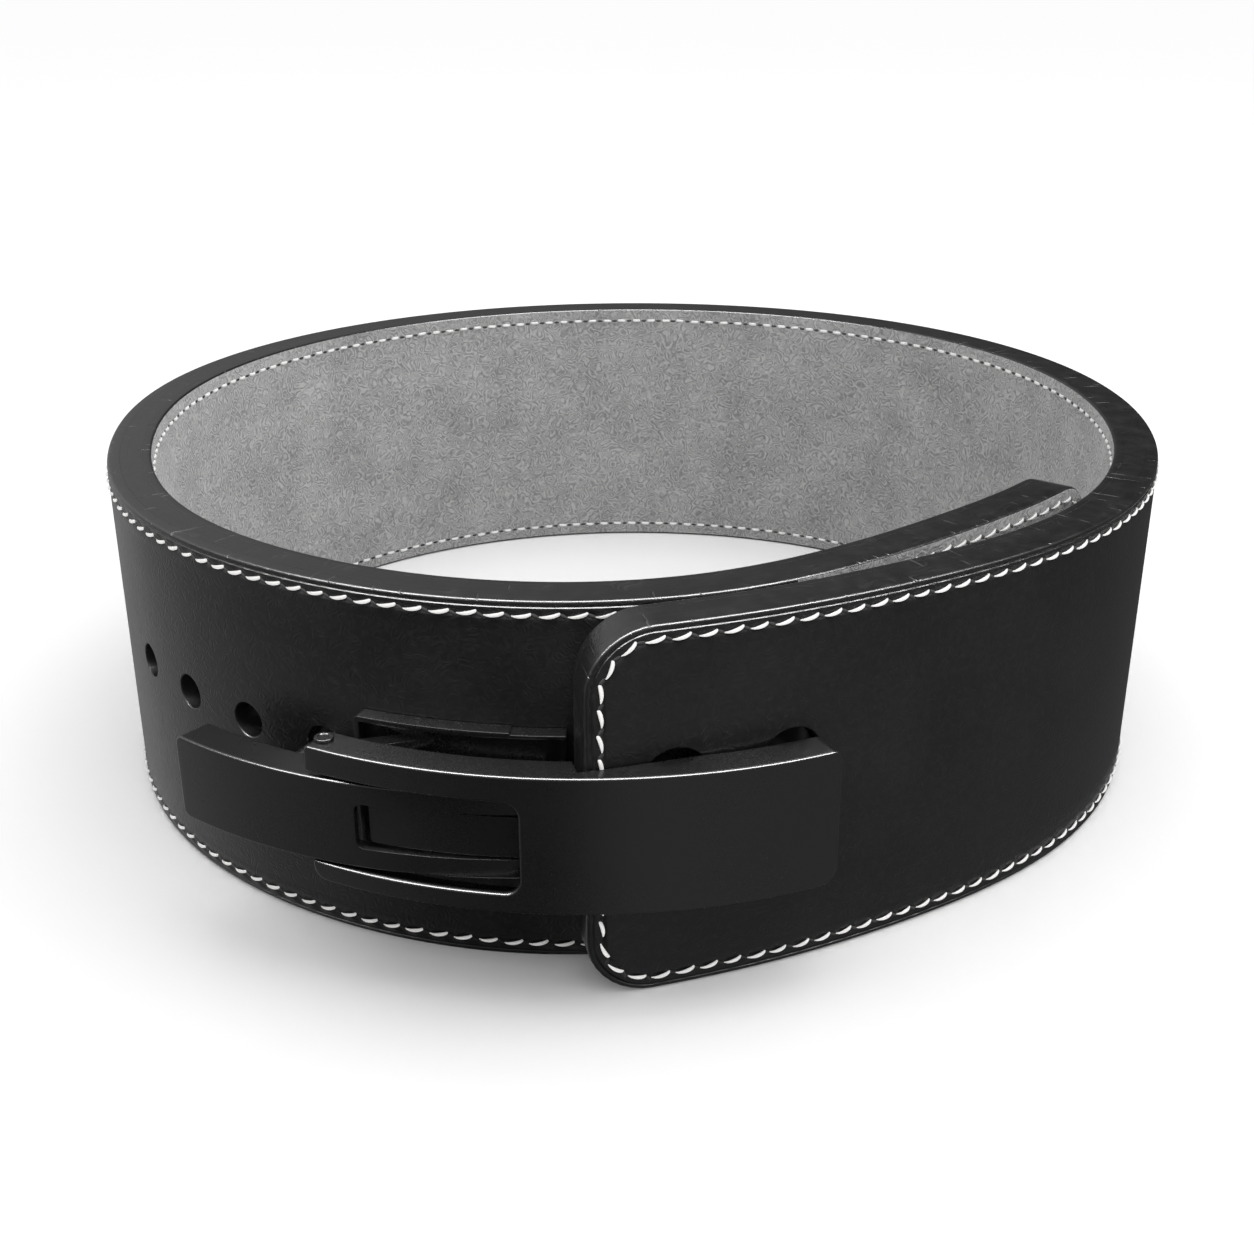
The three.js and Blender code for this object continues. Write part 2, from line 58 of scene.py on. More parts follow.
class Body(Enum):
    """The bodies that a piece can ride on."""

    BELT = "belt"
    LEVER = "lever"


class Slot(Enum):
    """The record's material slots."""

    LEATHER = "black_leather"
    EDGE = "edge_paint"
    SUEDE = "grey_suede"
    STEEL = "black_steel"


# The loop and the places along it.
@dataclass(frozen=True)
class StrapPath:
    """The middle line of the strap seen from above, in millimetres about the loop's centre.

    A station is a turn in degrees round the loop and the reach there as a share of loop_radius.
    """

    loop_radius: float = 160.0
    height: float = 100.0
    thickness: float = 13.0
    turn_step: float = 0.25
    stations: Tuple[Tuple[float, float], ...] = (
        (-92.5, 1.134), (-87, 1.104), (-80, 1.075), (-62, 1.035), (-40, 1.042), (-10, 1.036), (20, 1.042),
        (50, 1.03), (80, 0.998), (110, 0.98), (140, 0.975), (170, 0.97), (195, 0.972),
        (220, 1.008), (240, 1.024), (255, 1.026), (268, 1.014), (280, 0.984), (295, 0.932),
        (310, 0.905), (333, 0.934),
    )

    def __post_init__(self) -> None:
        """Works out the points of the line and their distances along it."""
        turns = np.array([station[0] for station in self.stations], float)
        reaches = np.array([station[1] for station in self.stations], float) * self.loop_radius
        fine = np.arange(turns[0], turns[-1] + self.turn_step / 2, self.turn_step)
        reach = self._spline(turns, reaches, fine)
        points = np.stack([reach * np.cos(np.radians(fine)), reach * np.sin(np.radians(fine))], 1)
        steps = np.linalg.norm(np.diff(points, axis=0), axis=1)
        object.__setattr__(self, "points", points)
        object.__setattr__(self, "arcs", np.concatenate([[0.0], np.cumsum(steps)]))

    @staticmethod
    def _spline(xs: np.ndarray, ys: np.ndarray, at: np.ndarray) -> np.ndarray:
        """Evaluates the natural cubic spline through some points.

        Args:
            xs: Places of the points.
            ys: Values at the points.
            at: Places to evaluate.

        Returns:
            The spline's values.
        """
        spans = np.diff(xs)
        count = len(xs)
        matrix = np.eye(count)
        right = np.zeros(count)
        for i in range(1, count - 1):
            matrix[i, i - 1:i + 2] = (spans[i - 1], 2 * (spans[i - 1] + spans[i]), spans[i])
            right[i] = 6 * ((ys[i + 1] - ys[i]) / spans[i] - (ys[i] - ys[i - 1]) / spans[i - 1])
        bends = np.linalg.solve(matrix, right)
        i = np.clip(np.searchsorted(xs, at) - 1, 0, count - 2)
        a = (xs[i + 1] - at) / spans[i]
        b = 1 - a
        bow = ((a ** 3 - a) * bends[i] + (b ** 3 - b) * bends[i + 1]) * spans[i] ** 2 / 6
        return a * ys[i] + b * ys[i + 1] + bow

    @property
    def length(self) -> float:
        """The strap's length."""
        return float(self.arcs[-1])

    @property
    def face(self) -> float:
        """The offset of the strap's outer face from its middle."""
        return self.thickness / 2

    def point(self, arc: float, offset: float = 0.0) -> np.ndarray:
        """Finds a point beside the middle line.

        Args:
            arc: Distance along the line.
            offset: Distance outwards from it.

        Returns:
            The point's x and y.
        """
        i = int(np.clip(np.searchsorted(self.arcs, arc, side="right"), 1, len(self.arcs) - 1))
        share = (arc - self.arcs[i - 1]) / (self.arcs[i] - self.arcs[i - 1])
        step = self.points[i] - self.points[i - 1]
        along = step / np.linalg.norm(step)
        return self.points[i - 1] + step * share + np.array([along[1], -along[0]]) * offset

    def arc_behind(self, x: float) -> float:
        """Finds where the front under the outer end has a given x.

        Args:
            x: The x to find.

        Returns:
            The distance along the line.
        """
        front = [arc for arc, at in zip(self.arcs, self.points) if arc > self.length / 2 and at[1] < 0]
        xs = [self.point(arc, self.face)[0] for arc in front]
        after = next(i for i, value in enumerate(xs) if value > x)
        share = (x - xs[after - 1]) / (xs[after] - xs[after - 1])
        return front[after - 1] + (front[after] - front[after - 1]) * share


@dataclass(frozen=True)
class BuckleArc:
    """An arc of the buckle that bows to the front, about a centre, in millimetres."""

    centre: Tuple[float, float]
    radius: float

    def turn_to(self, x: float) -> float:
        """Returns the turn in radians to where the arc has a given x."""
        return -math.acos((x - self.centre[0]) / self.radius)

    def point_at(self, x: float, depth: float = 0.0) -> Tuple[float, float]:
        """Returns the point at a given x on the arc that lies a depth behind this one."""
        radius = self.radius - depth
        return x, self.centre[1] - math.sqrt(radius ** 2 - (x - self.centre[0]) ** 2)

    def reach_to(self, x: float) -> float:
        """Returns the distance along the arc from its leftmost point to where it has a given x."""
        return (self.turn_to(x) + math.pi) * self.radius


# What the operators of the modelling bench do.
class Bench:
    """Makes and shapes meshes with operators. Lengths are millimetres until a piece is settled."""

    def __init__(self, shift: Vector) -> None:
        """Keeps the shift, in metres, from the loop's centre to the origin."""
        self.shift = shift

    @staticmethod
    def only(obj: bpy.types.Object) -> bpy.types.Object:
        """Selects one object alone, makes it active and returns it."""
        bpy.ops.object.select_all(action="DESELECT")
        obj.select_set(True)
        bpy.context.view_layer.objects.active = obj
        return obj

    def join(self, obj: bpy.types.Object, *others: bpy.types.Object) -> None:
        """Joins other objects into one."""
        self.only(obj)
        for other in others:
            other.select_set(True)
        bpy.ops.object.join()

    def block(self, name: str, low: Sequence[float], high: Sequence[float]) -> bpy.types.Object:
        """Adds a block.

        Args:
            name: The object's name.
            low: Its lowest corner.
            high: Its highest corner.

        Returns:
            The new object.
        """
        bpy.ops.object.select_all(action="DESELECT")
        size = [b - a for a, b in zip(low, high)]
        middle = [(a + b) / 2 for a, b in zip(low, high)]
        bpy.ops.mesh.primitive_cube_add(size=1, location=middle, scale=size)
        obj = bpy.context.object
        obj.name = name
        obj.data.name = name
        bpy.ops.object.transform_apply(location=True, rotation=True, scale=True)
        return obj

    def rod(
        self, name: str, middle: Sequence[float], radius: float, length: float,
        sides: int = 32, turn: Tuple[float, float, float] = (0.0, 0.0, 0.0),
    ) -> bpy.types.Object:
        """Adds a rod, along Z unless it is turned.

        Args:
            name: The object's name.
            middle: Its middle.
            radius: Its radius.
            length: Its length.
            sides: How many sides it has.
            turn: Its rotation in radians.

        Returns:
            The new object.
        """
        bpy.ops.object.select_all(action="DESELECT")
        bpy.ops.mesh.primitive_cylinder_add(
            vertices=sides, radius=radius, depth=length, location=middle, rotation=turn,
        )
        obj = bpy.context.object
        obj.name = name
        obj.data.name = name
        bpy.ops.object.transform_apply(location=True, rotation=True, scale=True)
        return obj

    def bevel_edges(
        self, obj: bpy.types.Object, test: Callable[[Vector, Vector], bool],
        width: float, steps: int, profile: float = 0.5,
    ) -> None:
        """Rounds the edges that a test picks by their two ends.

        Args:
            obj: The object to shape.
            test: Whether to round an edge between two points.
            width: The rounding's width.
            steps: Its number of segments.
            profile: Its shape, from 0 hollow to 1 square.
        """
        self.only(obj)
        bpy.ops.object.mode_set(mode="EDIT")
        bpy.ops.mesh.select_mode(type="EDGE")
        bpy.ops.mesh.select_all(action="DESELECT")
        mesh = bmesh.from_edit_mesh(obj.data)
        for edge in mesh.edges:
            edge.select = test(edge.verts[0].co, edge.verts[1].co)
        mesh.select_flush_mode()
        bmesh.update_edit_mesh(obj.data)
        bpy.ops.mesh.bevel(offset=width, offset_type="OFFSET", segments=steps, profile=profile)
        bpy.ops.object.mode_set(mode="OBJECT")

    def slice_x(self, obj: bpy.types.Object, places: Sequence[float]) -> None:
        """Cuts new edges across an object at some values of x.

        Args:
            obj: The object to cut.
            places: The values of x.
        """
        self.only(obj)
        bpy.ops.object.mode_set(mode="EDIT")
        bpy.ops.mesh.select_mode(type="VERT")
        for x in places:
            bpy.ops.mesh.select_all(action="SELECT")
            bpy.ops.mesh.bisect(plane_co=(x, 0, 0), plane_no=(1, 0, 0), threshold=1e-4)
        bpy.ops.object.mode_set(mode="OBJECT")

    def divide_long(self, obj: bpy.types.Object, shortest: float, cuts: int) -> None:
        """Divides the edges along x that are longer than a given length, with rings between them.

        Args:
            obj: The object to divide.
            shortest: The length above which an edge is divided.
            cuts: How many cuts each gets.
        """
        self.only(obj)
        bpy.ops.object.mode_set(mode="EDIT")
        bpy.ops.mesh.select_mode(type="EDGE")
        bpy.ops.mesh.select_all(action="DESELECT")
        mesh = bmesh.from_edit_mesh(obj.data)
        for edge in mesh.edges:
            edge.select = abs(edge.verts[0].co.x - edge.verts[1].co.x) > shortest
        mesh.select_flush_mode()
        bmesh.update_edit_mesh(obj.data)
        bpy.ops.mesh.subdivide(number_cuts=cuts)
        bpy.ops.object.mode_set(mode="OBJECT")

    def cut(self, obj: bpy.types.Object, *tools: bpy.types.Object) -> None:
        """Cuts tools out of an object and removes them."""
        for tool in tools:
            self.only(obj)
            modifier = obj.modifiers.new("cut", "BOOLEAN")
            modifier.operation = "DIFFERENCE"
            modifier.solver = "EXACT"
            modifier.object = tool
            bpy.ops.object.modifier_apply(modifier=modifier.name)
            bpy.data.objects.remove(tool)

    def soften(self, obj: bpy.types.Object, width: float, steps: int = 2, angle: float = 32.0) -> None:
        """Rounds every sharp edge with a bevel modifier.

        Args:
            obj: The object to round.
            width: The rounding's width.
            steps: Its number of segments.
            angle: The angle in degrees above which an edge is sharp.
        """
        self.only(obj)
        modifier = obj.modifiers.new("soften", "BEVEL")
        modifier.width = width
        modifier.segments = steps
        modifier.limit_method = "ANGLE"
        modifier.angle_limit = math.radians(angle)
        modifier.use_clamp_overlap = False
        modifier.miter_outer = "MITER_ARC"
        bpy.ops.object.modifier_apply(modifier=modifier.name)

    def line(self, name: str, points: np.ndarray) -> bpy.types.Object:
        """Adds a flat curve through points, for pieces to follow.

        Args:
            name: The curve's name.
            points: Its points in plan.

        Returns:
            The curve object.
        """
        data = bpy.data.curves.new(name, "CURVE")
        data.dimensions = "2D"
        data.use_deform_bounds = False
        spline = data.splines.new("POLY")
        spline.points.add(len(points) - 1)
        flat = np.zeros((len(points), 4))
        flat[:, :2] = points
        flat[:, 3] = 1
        spline.points.foreach_set("co", flat.ravel())
        obj = bpy.data.objects.new(name, data)
        bpy.context.scene.collection.objects.link(obj)
        return obj

    def wrap(self, obj: bpy.types.Object, line: bpy.types.Object) -> None:
        """Bends a flat piece along a line: x runs along it and y goes inwards."""
        self.only(obj)
        modifier = obj.modifiers.new("wrap", "CURVE")
        modifier.object = line
        modifier.deform_axis = "POS_X"
        bpy.ops.object.modifier_apply(modifier=modifier.name)

    def map_flat(self, obj: bpy.types.Object) -> None:
        """Keeps a flat piece's own coordinates, in metres, as two UV maps.

        The map strap holds x and z, and the map rim holds x + z and the depth y.
        """
        mesh = obj.data
        corners = np.zeros(len(mesh.loops), int)
        mesh.loops.foreach_get("vertex_index", corners)
        places = np.zeros(len(mesh.vertices) * 3)
        mesh.vertices.foreach_get("co", places)
        places = places.reshape(-1, 3)[corners] * MM
        pairs = {
            "strap": places[:, [0, 2]],
            "rim": np.stack([places[:, 0] + places[:, 2], places[:, 1]], 1),
        }
        for name, values in pairs.items():
            layer = mesh.uv_layers.get(name) or mesh.uv_layers.new(name=name)
            layer.data.foreach_set("uv", values.ravel())

    def paint(self, obj: bpy.types.Object, face: bpy.types.Material, rim: bpy.types.Material) -> None:
        """Gives a flat ply its face material on the faces square to y, and its rim material elsewhere."""
        obj.data.materials.clear()
        obj.data.materials.append(face)
        obj.data.materials.append(rim)
        for polygon in obj.data.polygons:
            polygon.material_index = 0 if abs(polygon.normal.y) > 0.9 else 1

    def settle(
        self, obj: bpy.types.Object, body: Body, slot: Slot,
        material: Optional[bpy.types.Material] = None, replaces: Sequence[str] = (), angle: float = 35.0,
    ) -> bpy.types.Object:
        """Scales a piece to metres, moves it into the part's frame and hands it to its body.

        Args:
            obj: The finished piece, in millimetres about the loop's centre.
            body: The body that it rides on.
            slot: The record's slot that its finish stands for.
            material: Its material, if it hasn't got one yet.
            replaces: The plain solids that it stands for.
            angle: The angle in degrees above which an edge stays sharp in shading.

        Returns:
            The same object.
        """
        if material is not None:
            obj.data.materials.clear()
            obj.data.materials.append(material)
        self.only(obj)
        obj.scale = (MM, MM, MM)
        obj.location = self.shift
        bpy.ops.object.transform_apply(location=True, rotation=True, scale=True)
        bpy.ops.object.shade_smooth_by_angle(angle=math.radians(angle))
        if slot is Slot.STEEL:
            modifier = obj.modifiers.new("weights", "WEIGHTED_NORMAL")
            modifier.keep_sharp = True
            bpy.ops.object.modifier_apply(modifier=modifier.name)
        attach(obj, body.value)
        if replaces:
            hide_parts(*replaces)
        log.info("%s: %d faces on body %s", obj.name, len(obj.data.polygons), body.value)
        return obj


# Shader maths and the node builder.
class Signal:
    """A shader value that Python expressions can add to, scale and compare."""

    def __init__(self, tree: bpy.types.NodeTree, socket: bpy.types.NodeSocket) -> None:
        """Wraps an output socket of a node tree."""
        self.tree = tree
        self.socket = socket

    def _math(self, operation: str, *values: object) -> "Signal":
        """Adds a Math node for an operation on this value and others."""
        node = self.tree.nodes.new("ShaderNodeMath")
        node.operation = operation
        for slot, value in zip(node.inputs, values):
            if isinstance(value, Signal):
                self.tree.links.new(value.socket, slot)
            else:
                slot.default_value = float(value)
        return Signal(self.tree, node.outputs[0])

    def __add__(self, other: object) -> "Signal":
        """Returns self + other."""
        return self._math("ADD", self, other)

    __radd__ = __add__

    def __sub__(self, other: object) -> "Signal":
        """Returns self - other."""
        return self._math("SUBTRACT", self, other)

    def __rsub__(self, other: object) -> "Signal":
        """Returns other - self."""
        return self._math("SUBTRACT", other, self)

    def __mul__(self, other: object) -> "Signal":
        """Returns self * other."""
        return self._math("MULTIPLY", self, other)

    __rmul__ = __mul__

    def __abs__(self) -> "Signal":
        """Returns the absolute value."""
        return self._math("ABSOLUTE", self)

    def most(self, other: object) -> "Signal":
        """Returns the larger of self and other."""
        return self._math("MAXIMUM", self, other)

    def least(self, other: object) -> "Signal":
        """Returns the smaller of self and other."""
        return self._math("MINIMUM", self, other)

    def root(self) -> "Signal":
        """Returns the square root."""
        return self._math("SQRT", self)

    def sine(self) -> "Signal":
        """Returns the sine."""
        return self._math("SINE", self)

    def rise(self, low: float, high: float) -> "Signal":
        """Returns a smooth step from 0 at low to 1 at high."""
        node = self.tree.nodes.new("ShaderNodeMapRange")
        node.interpolation_type = "SMOOTHSTEP"
        self.tree.links.new(self.socket, node.inputs["Value"])
        node.inputs["From Min"].default_value = low
        node.inputs["From Max"].default_value = high
        return Signal(self.tree, node.outputs["Result"])

    def hump(self, middle: float, width: float) -> "Signal":
        """Returns a smooth hump of height 1 at middle that is 0 beyond width from it."""
        return 1 - abs(self - middle).rise(0, width)


class Nodes:
    """Adds nodes to one node tree."""

    def __init__(self, tree: bpy.types.NodeTree) -> None:
        """Keeps the tree."""
        self.tree = tree

    def node(
        self, kind: str, settings: Optional[Dict[str, object]] = None,
        inputs: Optional[Dict[str, object]] = None,
    ) -> bpy.types.Node:
        """Adds a node.

        Args:
            kind: The node's type, without its ShaderNode prefix.
            settings: Its properties, set first.
            inputs: Values or links of its sockets by name or place.

        Returns:
            The node.
        """
        node = self.tree.nodes.new("ShaderNode" + kind)
        for name, value in (settings or {}).items():
            setattr(node, name, value)
        for name, value in (inputs or {}).items():
            self.feed(node.inputs[name], value)
        return node

    def feed(self, socket: bpy.types.NodeSocket, value: object) -> None:
        """Links a socket to a signal or an output, or sets its value."""
        if isinstance(value, Signal):
            self.tree.links.new(value.socket, socket)
        elif isinstance(value, bpy.types.NodeSocket):
            self.tree.links.new(value, socket)
        else:
            socket.default_value = value

    def signal(self, socket: bpy.types.NodeSocket) -> Signal:
        """Wraps an output as a signal."""
        return Signal(self.tree, socket)

    def uv(self, name: str) -> bpy.types.NodeSocket:
        """Returns the coordinates of a UV map."""
        return self.node("UVMap", {"uv_map": name}).outputs["UV"]

    def place(self) -> bpy.types.NodeSocket:
        """Returns the object coordinates."""
        return self.node("TexCoord").outputs["Object"]

    def split(self, vector: bpy.types.NodeSocket) -> Tuple[Signal, Signal, Signal]:
        """Returns the three parts of a vector."""
        node = self.node("SeparateXYZ", inputs={0: vector})
        return tuple(self.signal(output) for output in node.outputs)

    def stretch(self, vector: bpy.types.NodeSocket, scale: Point) -> bpy.types.NodeSocket:
        """Returns coordinates scaled by three factors."""
        return self.node("Mapping", inputs={"Vector": vector, "Scale": scale}).outputs[0]

    def noise(
        self, vector: bpy.types.NodeSocket, scale: float, detail: float = 2.0,
        roughness: float = 0.5, distortion: float = 0.0,
    ) -> Signal:
        """Returns noise from 0 to 1.

        Args:
            vector: Its coordinates, in metres.
            scale: Its number of features in a metre.
            detail: Its octaves.
            roughness: How strong the finer octaves are.
            distortion: How much it is curled.

        Returns:
            The noise as a signal.
        """
        values = {
            "Vector": vector, "Scale": scale, "Detail": detail,
            "Roughness": roughness, "Distortion": distortion,
        }
        return self.signal(self.node("TexNoise", inputs=values).outputs[0])

    def strokes(self, vector: bpy.types.NodeSocket, scale: float, bands: float, shown: float) -> Signal:
        """Returns short curly ridges and troughs side by side, along the level lines of a noise.

        Args:
            vector: Its coordinates, in metres.
            scale: How many features of the noise a metre holds.
            bands: How many ridges the noise's range holds.
            shown: The level of a second noise above which they show.

        Returns:
            A signal from -1 in the troughs to 1 on the ridges.
        """
        wave = (self.noise(vector, scale, 0.0, 0.5, 0.5) * (bands * 2 * math.pi)).sine()
        return wave * self.noise(vector, scale * 1.3, 1.0).rise(shown, shown + 0.12)

    def mix(self, factor: Signal, first: object, second: object) -> bpy.types.NodeSocket:
        """Returns a mix of two colours."""
        node = self.node("Mix", {"data_type": "RGBA"})
        self.feed(node.inputs[0], factor)
        self.feed(node.inputs[6], first)
        self.feed(node.inputs[7], second)
        return node.outputs[2]


class Dressing(Nodes):
    """Builds one material from nodes."""

    def __init__(self, name: str) -> None:
        """Starts a material with its Principled shader."""
        self.material = bpy.data.materials.new(name)
        self.material.use_nodes = True
        super().__init__(self.material.node_tree)
        self.shader = self.tree.nodes["Principled BSDF"]

    def finish(
        self, colour: object, roughness: object, height: Optional[Signal] = None,
        strength: float = 1.0, fixed: Optional[Dict[str, object]] = None,
    ) -> bpy.types.Material:
        """Connects the shader.

        Args:
            colour: The base colour, or its socket.
            roughness: The roughness, or its signal.
            height: The relief in metres, if any.
            strength: The relief's strength.
            fixed: Other sockets and their plain values.

        Returns:
            The material.
        """
        self.feed(self.shader.inputs["Base Color"], colour)
        self.feed(self.shader.inputs["Roughness"], roughness)
        for name, value in (fixed or {}).items():
            self.shader.inputs[name].default_value = value
        if height is not None:
            values = {"Strength": strength, "Distance": 1.0, "Height": height}
            bump = self.node("Bump", inputs=values)
            self.tree.links.new(bump.outputs["Normal"], self.shader.inputs["Normal"])
        return self.material


def grey(level: float, warmth: float = 0.0) -> Colour:
    """Returns a grey of a linear level, a little warmer or cooler."""
    return (level * (1 + warmth), level, level * (1 - warmth), 1.0)


@dataclass(frozen=True)
class BlackLeather:
    """Smooth black leather with a fine grain, faint curls and puckers beside its stitching, and painted shade
    in the stitch groove and the edge crease.
    """

    base: float = 0.0035
    worn: float = 0.007
    roughness: float = 0.35
    seam_inset: float = 3.8
    pitch: float = 6.4
    crease: float = 1.55
    corner: float = 17.0
    height: float = 100.0

    def seam_depth(self, make: Dressing) -> Tuple[Signal, Signal]:
        """Measures from the strap's rounded outline.

        Args:
            make: The material's builder.

        Returns:
            The distance from the outline and the distance along the strap, in millimetres.
        """
        x, z, _ = make.split(make.uv("strap"))
        x, z = x * 1000, z * 1000
        across = self.corner - x
        up = abs(z - self.height / 2) - (self.height / 2 - self.corner)
        outside_x, outside_z = across.most(0), up.most(0)
        reach = (outside_x * outside_x + outside_z * outside_z).root()
        return self.corner - (reach + across.most(up).least(0)), x + z

    def make(self) -> bpy.types.Material:
        """Builds the material."""
        make = Dressing("black leather")
        strap = make.uv("strap")
        depth, along = self.seam_depth(make)
        grain = make.noise(strap, 1500, 3, 0.65)
        pores = make.noise(strap, 520, 4, 0.6, 0.4)
        wrinkles = make.strokes(strap, 300, 5, 0.42)
        clouds = make.noise(strap, 28, 4, 0.55)
        groove = depth.hump(self.seam_inset, 1.3)
        crease = depth.hump(self.crease, 0.45)
        pucker = (along * (2 * math.pi / self.pitch)).sine() * depth.hump(self.seam_inset - 1.4, 1.6)
        swell = depth.hump(self.seam_inset + 2.2, 2.0)
        height = (
            grain * 0.00001 + pores * 0.00003 + wrinkles * 0.00003
            - groove * 0.0003 - crease * 0.00045 + pucker * 0.00014 + swell * 0.0001
            + make.noise(strap, 14, 2) * 0.0008
        )
        roughness = self.roughness + (clouds - 0.5) * 0.16 + (pores - 0.5) * 0.1 + groove * 0.1
        tone = (clouds * 0.6 + pores * 0.4).rise(0.35, 0.7)
        colour = make.mix(tone, grey(self.base), grey(self.worn, 0.01))
        colour = make.mix(wrinkles.most(0) * 0.3, colour, grey(self.worn * 1.8))
        # Painted shade: the colour is darkened in the stitch groove and in the edge crease.
        colour = make.mix(groove.most(crease) * 0.5, colour, grey(self.base * 0.3))
        return make.finish(colour, roughness, height, 0.8, {"Specular IOR Level": 0.42})


@dataclass(frozen=True)
class EdgePaint:
    """Black painted edge of the plies, burnished, with fine lines along it and small ticks across."""

    base: float = 0.0065
    line: float = 0.002
    scratch: float = 0.05
    roughness: float = 0.33
    lines: Tuple[float, ...] = (-0.4, 3.4, 4.4)

    def make(self) -> bpy.types.Material:
        """Builds the material."""
        make = Dressing("edge paint")
        rim = make.uv("rim")
        _, across, _ = make.split(rim)
        wander = (make.noise(make.stretch(rim, (1, 0, 0)), 22, 3) - 0.5) * 0.0012
        depth = across + wander
        grooves = depth.hump(self.lines[0] * MM, 0.00022)
        for line in self.lines[1:]:
            grooves = grooves.most(depth.hump(line * MM, 0.0002) * 0.8)
        shown = make.noise(make.stretch(rim, (1, 0, 0)), 60, 2).rise(0.35, 0.55)
        grooves = grooves * shown
        ticks = make.noise(make.stretch(rim, (1, 0.12, 1)), 480, 3, 0.5, 0.3).rise(0.64, 0.7)
        fibres = make.noise(make.stretch(rim, (0.06, 1, 1)), 2600, 3, 0.6)
        blotch = make.noise(rim, 160, 4, 0.6)
        scratches = make.strokes(rim, 90, 9, 0.56).most(0)
        height = (
            fibres * 0.00003 + blotch * 0.00015 + scratches * 0.00006
            - grooves * 0.00002 - ticks * 0.0002
        )
        colour = make.mix(grooves.most(ticks * 0.7), grey(self.base), grey(self.line))
        colour = make.mix(scratches * 0.3, colour, grey(self.scratch))
        roughness = self.roughness + (blotch - 0.5) * 0.3 + ticks * 0.2
        return make.finish(colour, roughness, height, 0.7, {"Specular IOR Level": 0.5})


@dataclass(frozen=True)
class GreySuede:
    """Grey suede whose nap lies in short light and dark curls."""

    low: float = 0.19
    high: float = 0.48

    def make(self) -> bpy.types.Material:
        """Builds the material."""
        make = Dressing("grey suede")
        strap = make.uv("strap")
        nap = make.noise(strap, 900, 4, 0.7)
        clouds = make.noise(strap, 45, 5, 0.6)
        curls = make.strokes(strap, 250, 6, 0.38)
        tone = nap * 0.6 + clouds * 0.4 + curls * 0.13
        colour = make.mix(tone.rise(0.2, 0.8), grey(self.low, 0.004), grey(self.high, 0.004))
        height = nap * 0.00025 + curls * 0.00016 + clouds * 0.0002
        fixed = {"Sheen Weight": 0.2, "Sheen Roughness": 0.5, "Specular IOR Level": 0.1}
        return make.finish(colour, 0.95, height, 0.6, fixed)


@dataclass(frozen=True)
class SatinSteel:
    """Black coated steel with a satin face that is a little polished."""

    base: float = 0.0045
    roughness: float = 0.28

    def make(self) -> bpy.types.Material:
        """Builds the material."""
        make = Dressing("satin black steel")
        place = make.place()
        orange = make.noise(place, 900, 3, 0.5)
        clouds = make.noise(place, 35, 3, 0.5)
        colour = make.mix(clouds, grey(self.base), grey(self.base * 1.35, -0.01))
        roughness = self.roughness + (clouds - 0.5) * 0.08 + (orange - 0.5) * 0.06
        height = orange * 0.000005
        return make.finish(colour, roughness, height, 0.5, {"Specular IOR Level": 0.55})


@dataclass(frozen=True)
class Thread:
    """Waxed off-white thread with its twist, with painted shade in bands along the twist and on the end that
    dives into the leather.
    """

    # The lit and the shaded tone of the one thread, mixed along the twist as painted shade.
    light: float = 0.95
    shade: float = 0.6
    dipped_shade: float = 0.24

    def make(self) -> bpy.types.Material:
        """Builds the material."""
        make = Dressing("waxed thread")
        along, around, _ = make.split(make.uv("thread"))
        twist = ((along * 0.75 + around * 2) * (2 * math.pi)).sine() * 0.5 + 0.5
        fuzz = make.noise(make.place(), 2600, 2)
        # Painted shade: darker bands along the twist, mixed with a random fuzz tone.
        colour = make.mix(twist * 0.4 + fuzz * 0.2, grey(self.light, 0.01), grey(self.shade, 0.03))
        # Painted shade: the trailing end, where the thread dives into the leather, is darkened.
        dipped_shade = 1 - along.rise(-2.7, -1.0)
        colour = make.mix(dipped_shade * 0.75, colour, grey(self.dipped_shade, 0.12))
        height = twist * 0.00009 + fuzz * 0.00003
        return make.finish(colour, 0.6, height, 0.6, {"Specular IOR Level": 0.3})


@dataclass(frozen=True)
class StitchShadow:
    """A painted shadow: the dark colour of flat discs standing in for the shade in the stitch holes and under
    the thread.
    """

    base: float = 0.004

    def make(self) -> bpy.types.Material:
        """Builds the material."""
        make = Dressing("needle hole")
        fuzz = make.noise(make.place(), 1200, 2)
        return make.finish(make.mix(fuzz, grey(self.base), grey(self.base * 2)), 0.9)


@dataclass
class Finishes:
    """The belt's materials, made once."""

    leather: bpy.types.Material = field(default_factory=lambda: BlackLeather().make())
    edge: bpy.types.Material = field(default_factory=lambda: EdgePaint().make())
    suede: bpy.types.Material = field(default_factory=lambda: GreySuede().make())
    steel: bpy.types.Material = field(default_factory=lambda: SatinSteel().make())
    thread: bpy.types.Material = field(default_factory=lambda: Thread().make())
    stitch_shadow: bpy.types.Material = field(default_factory=lambda: StitchShadow().make())


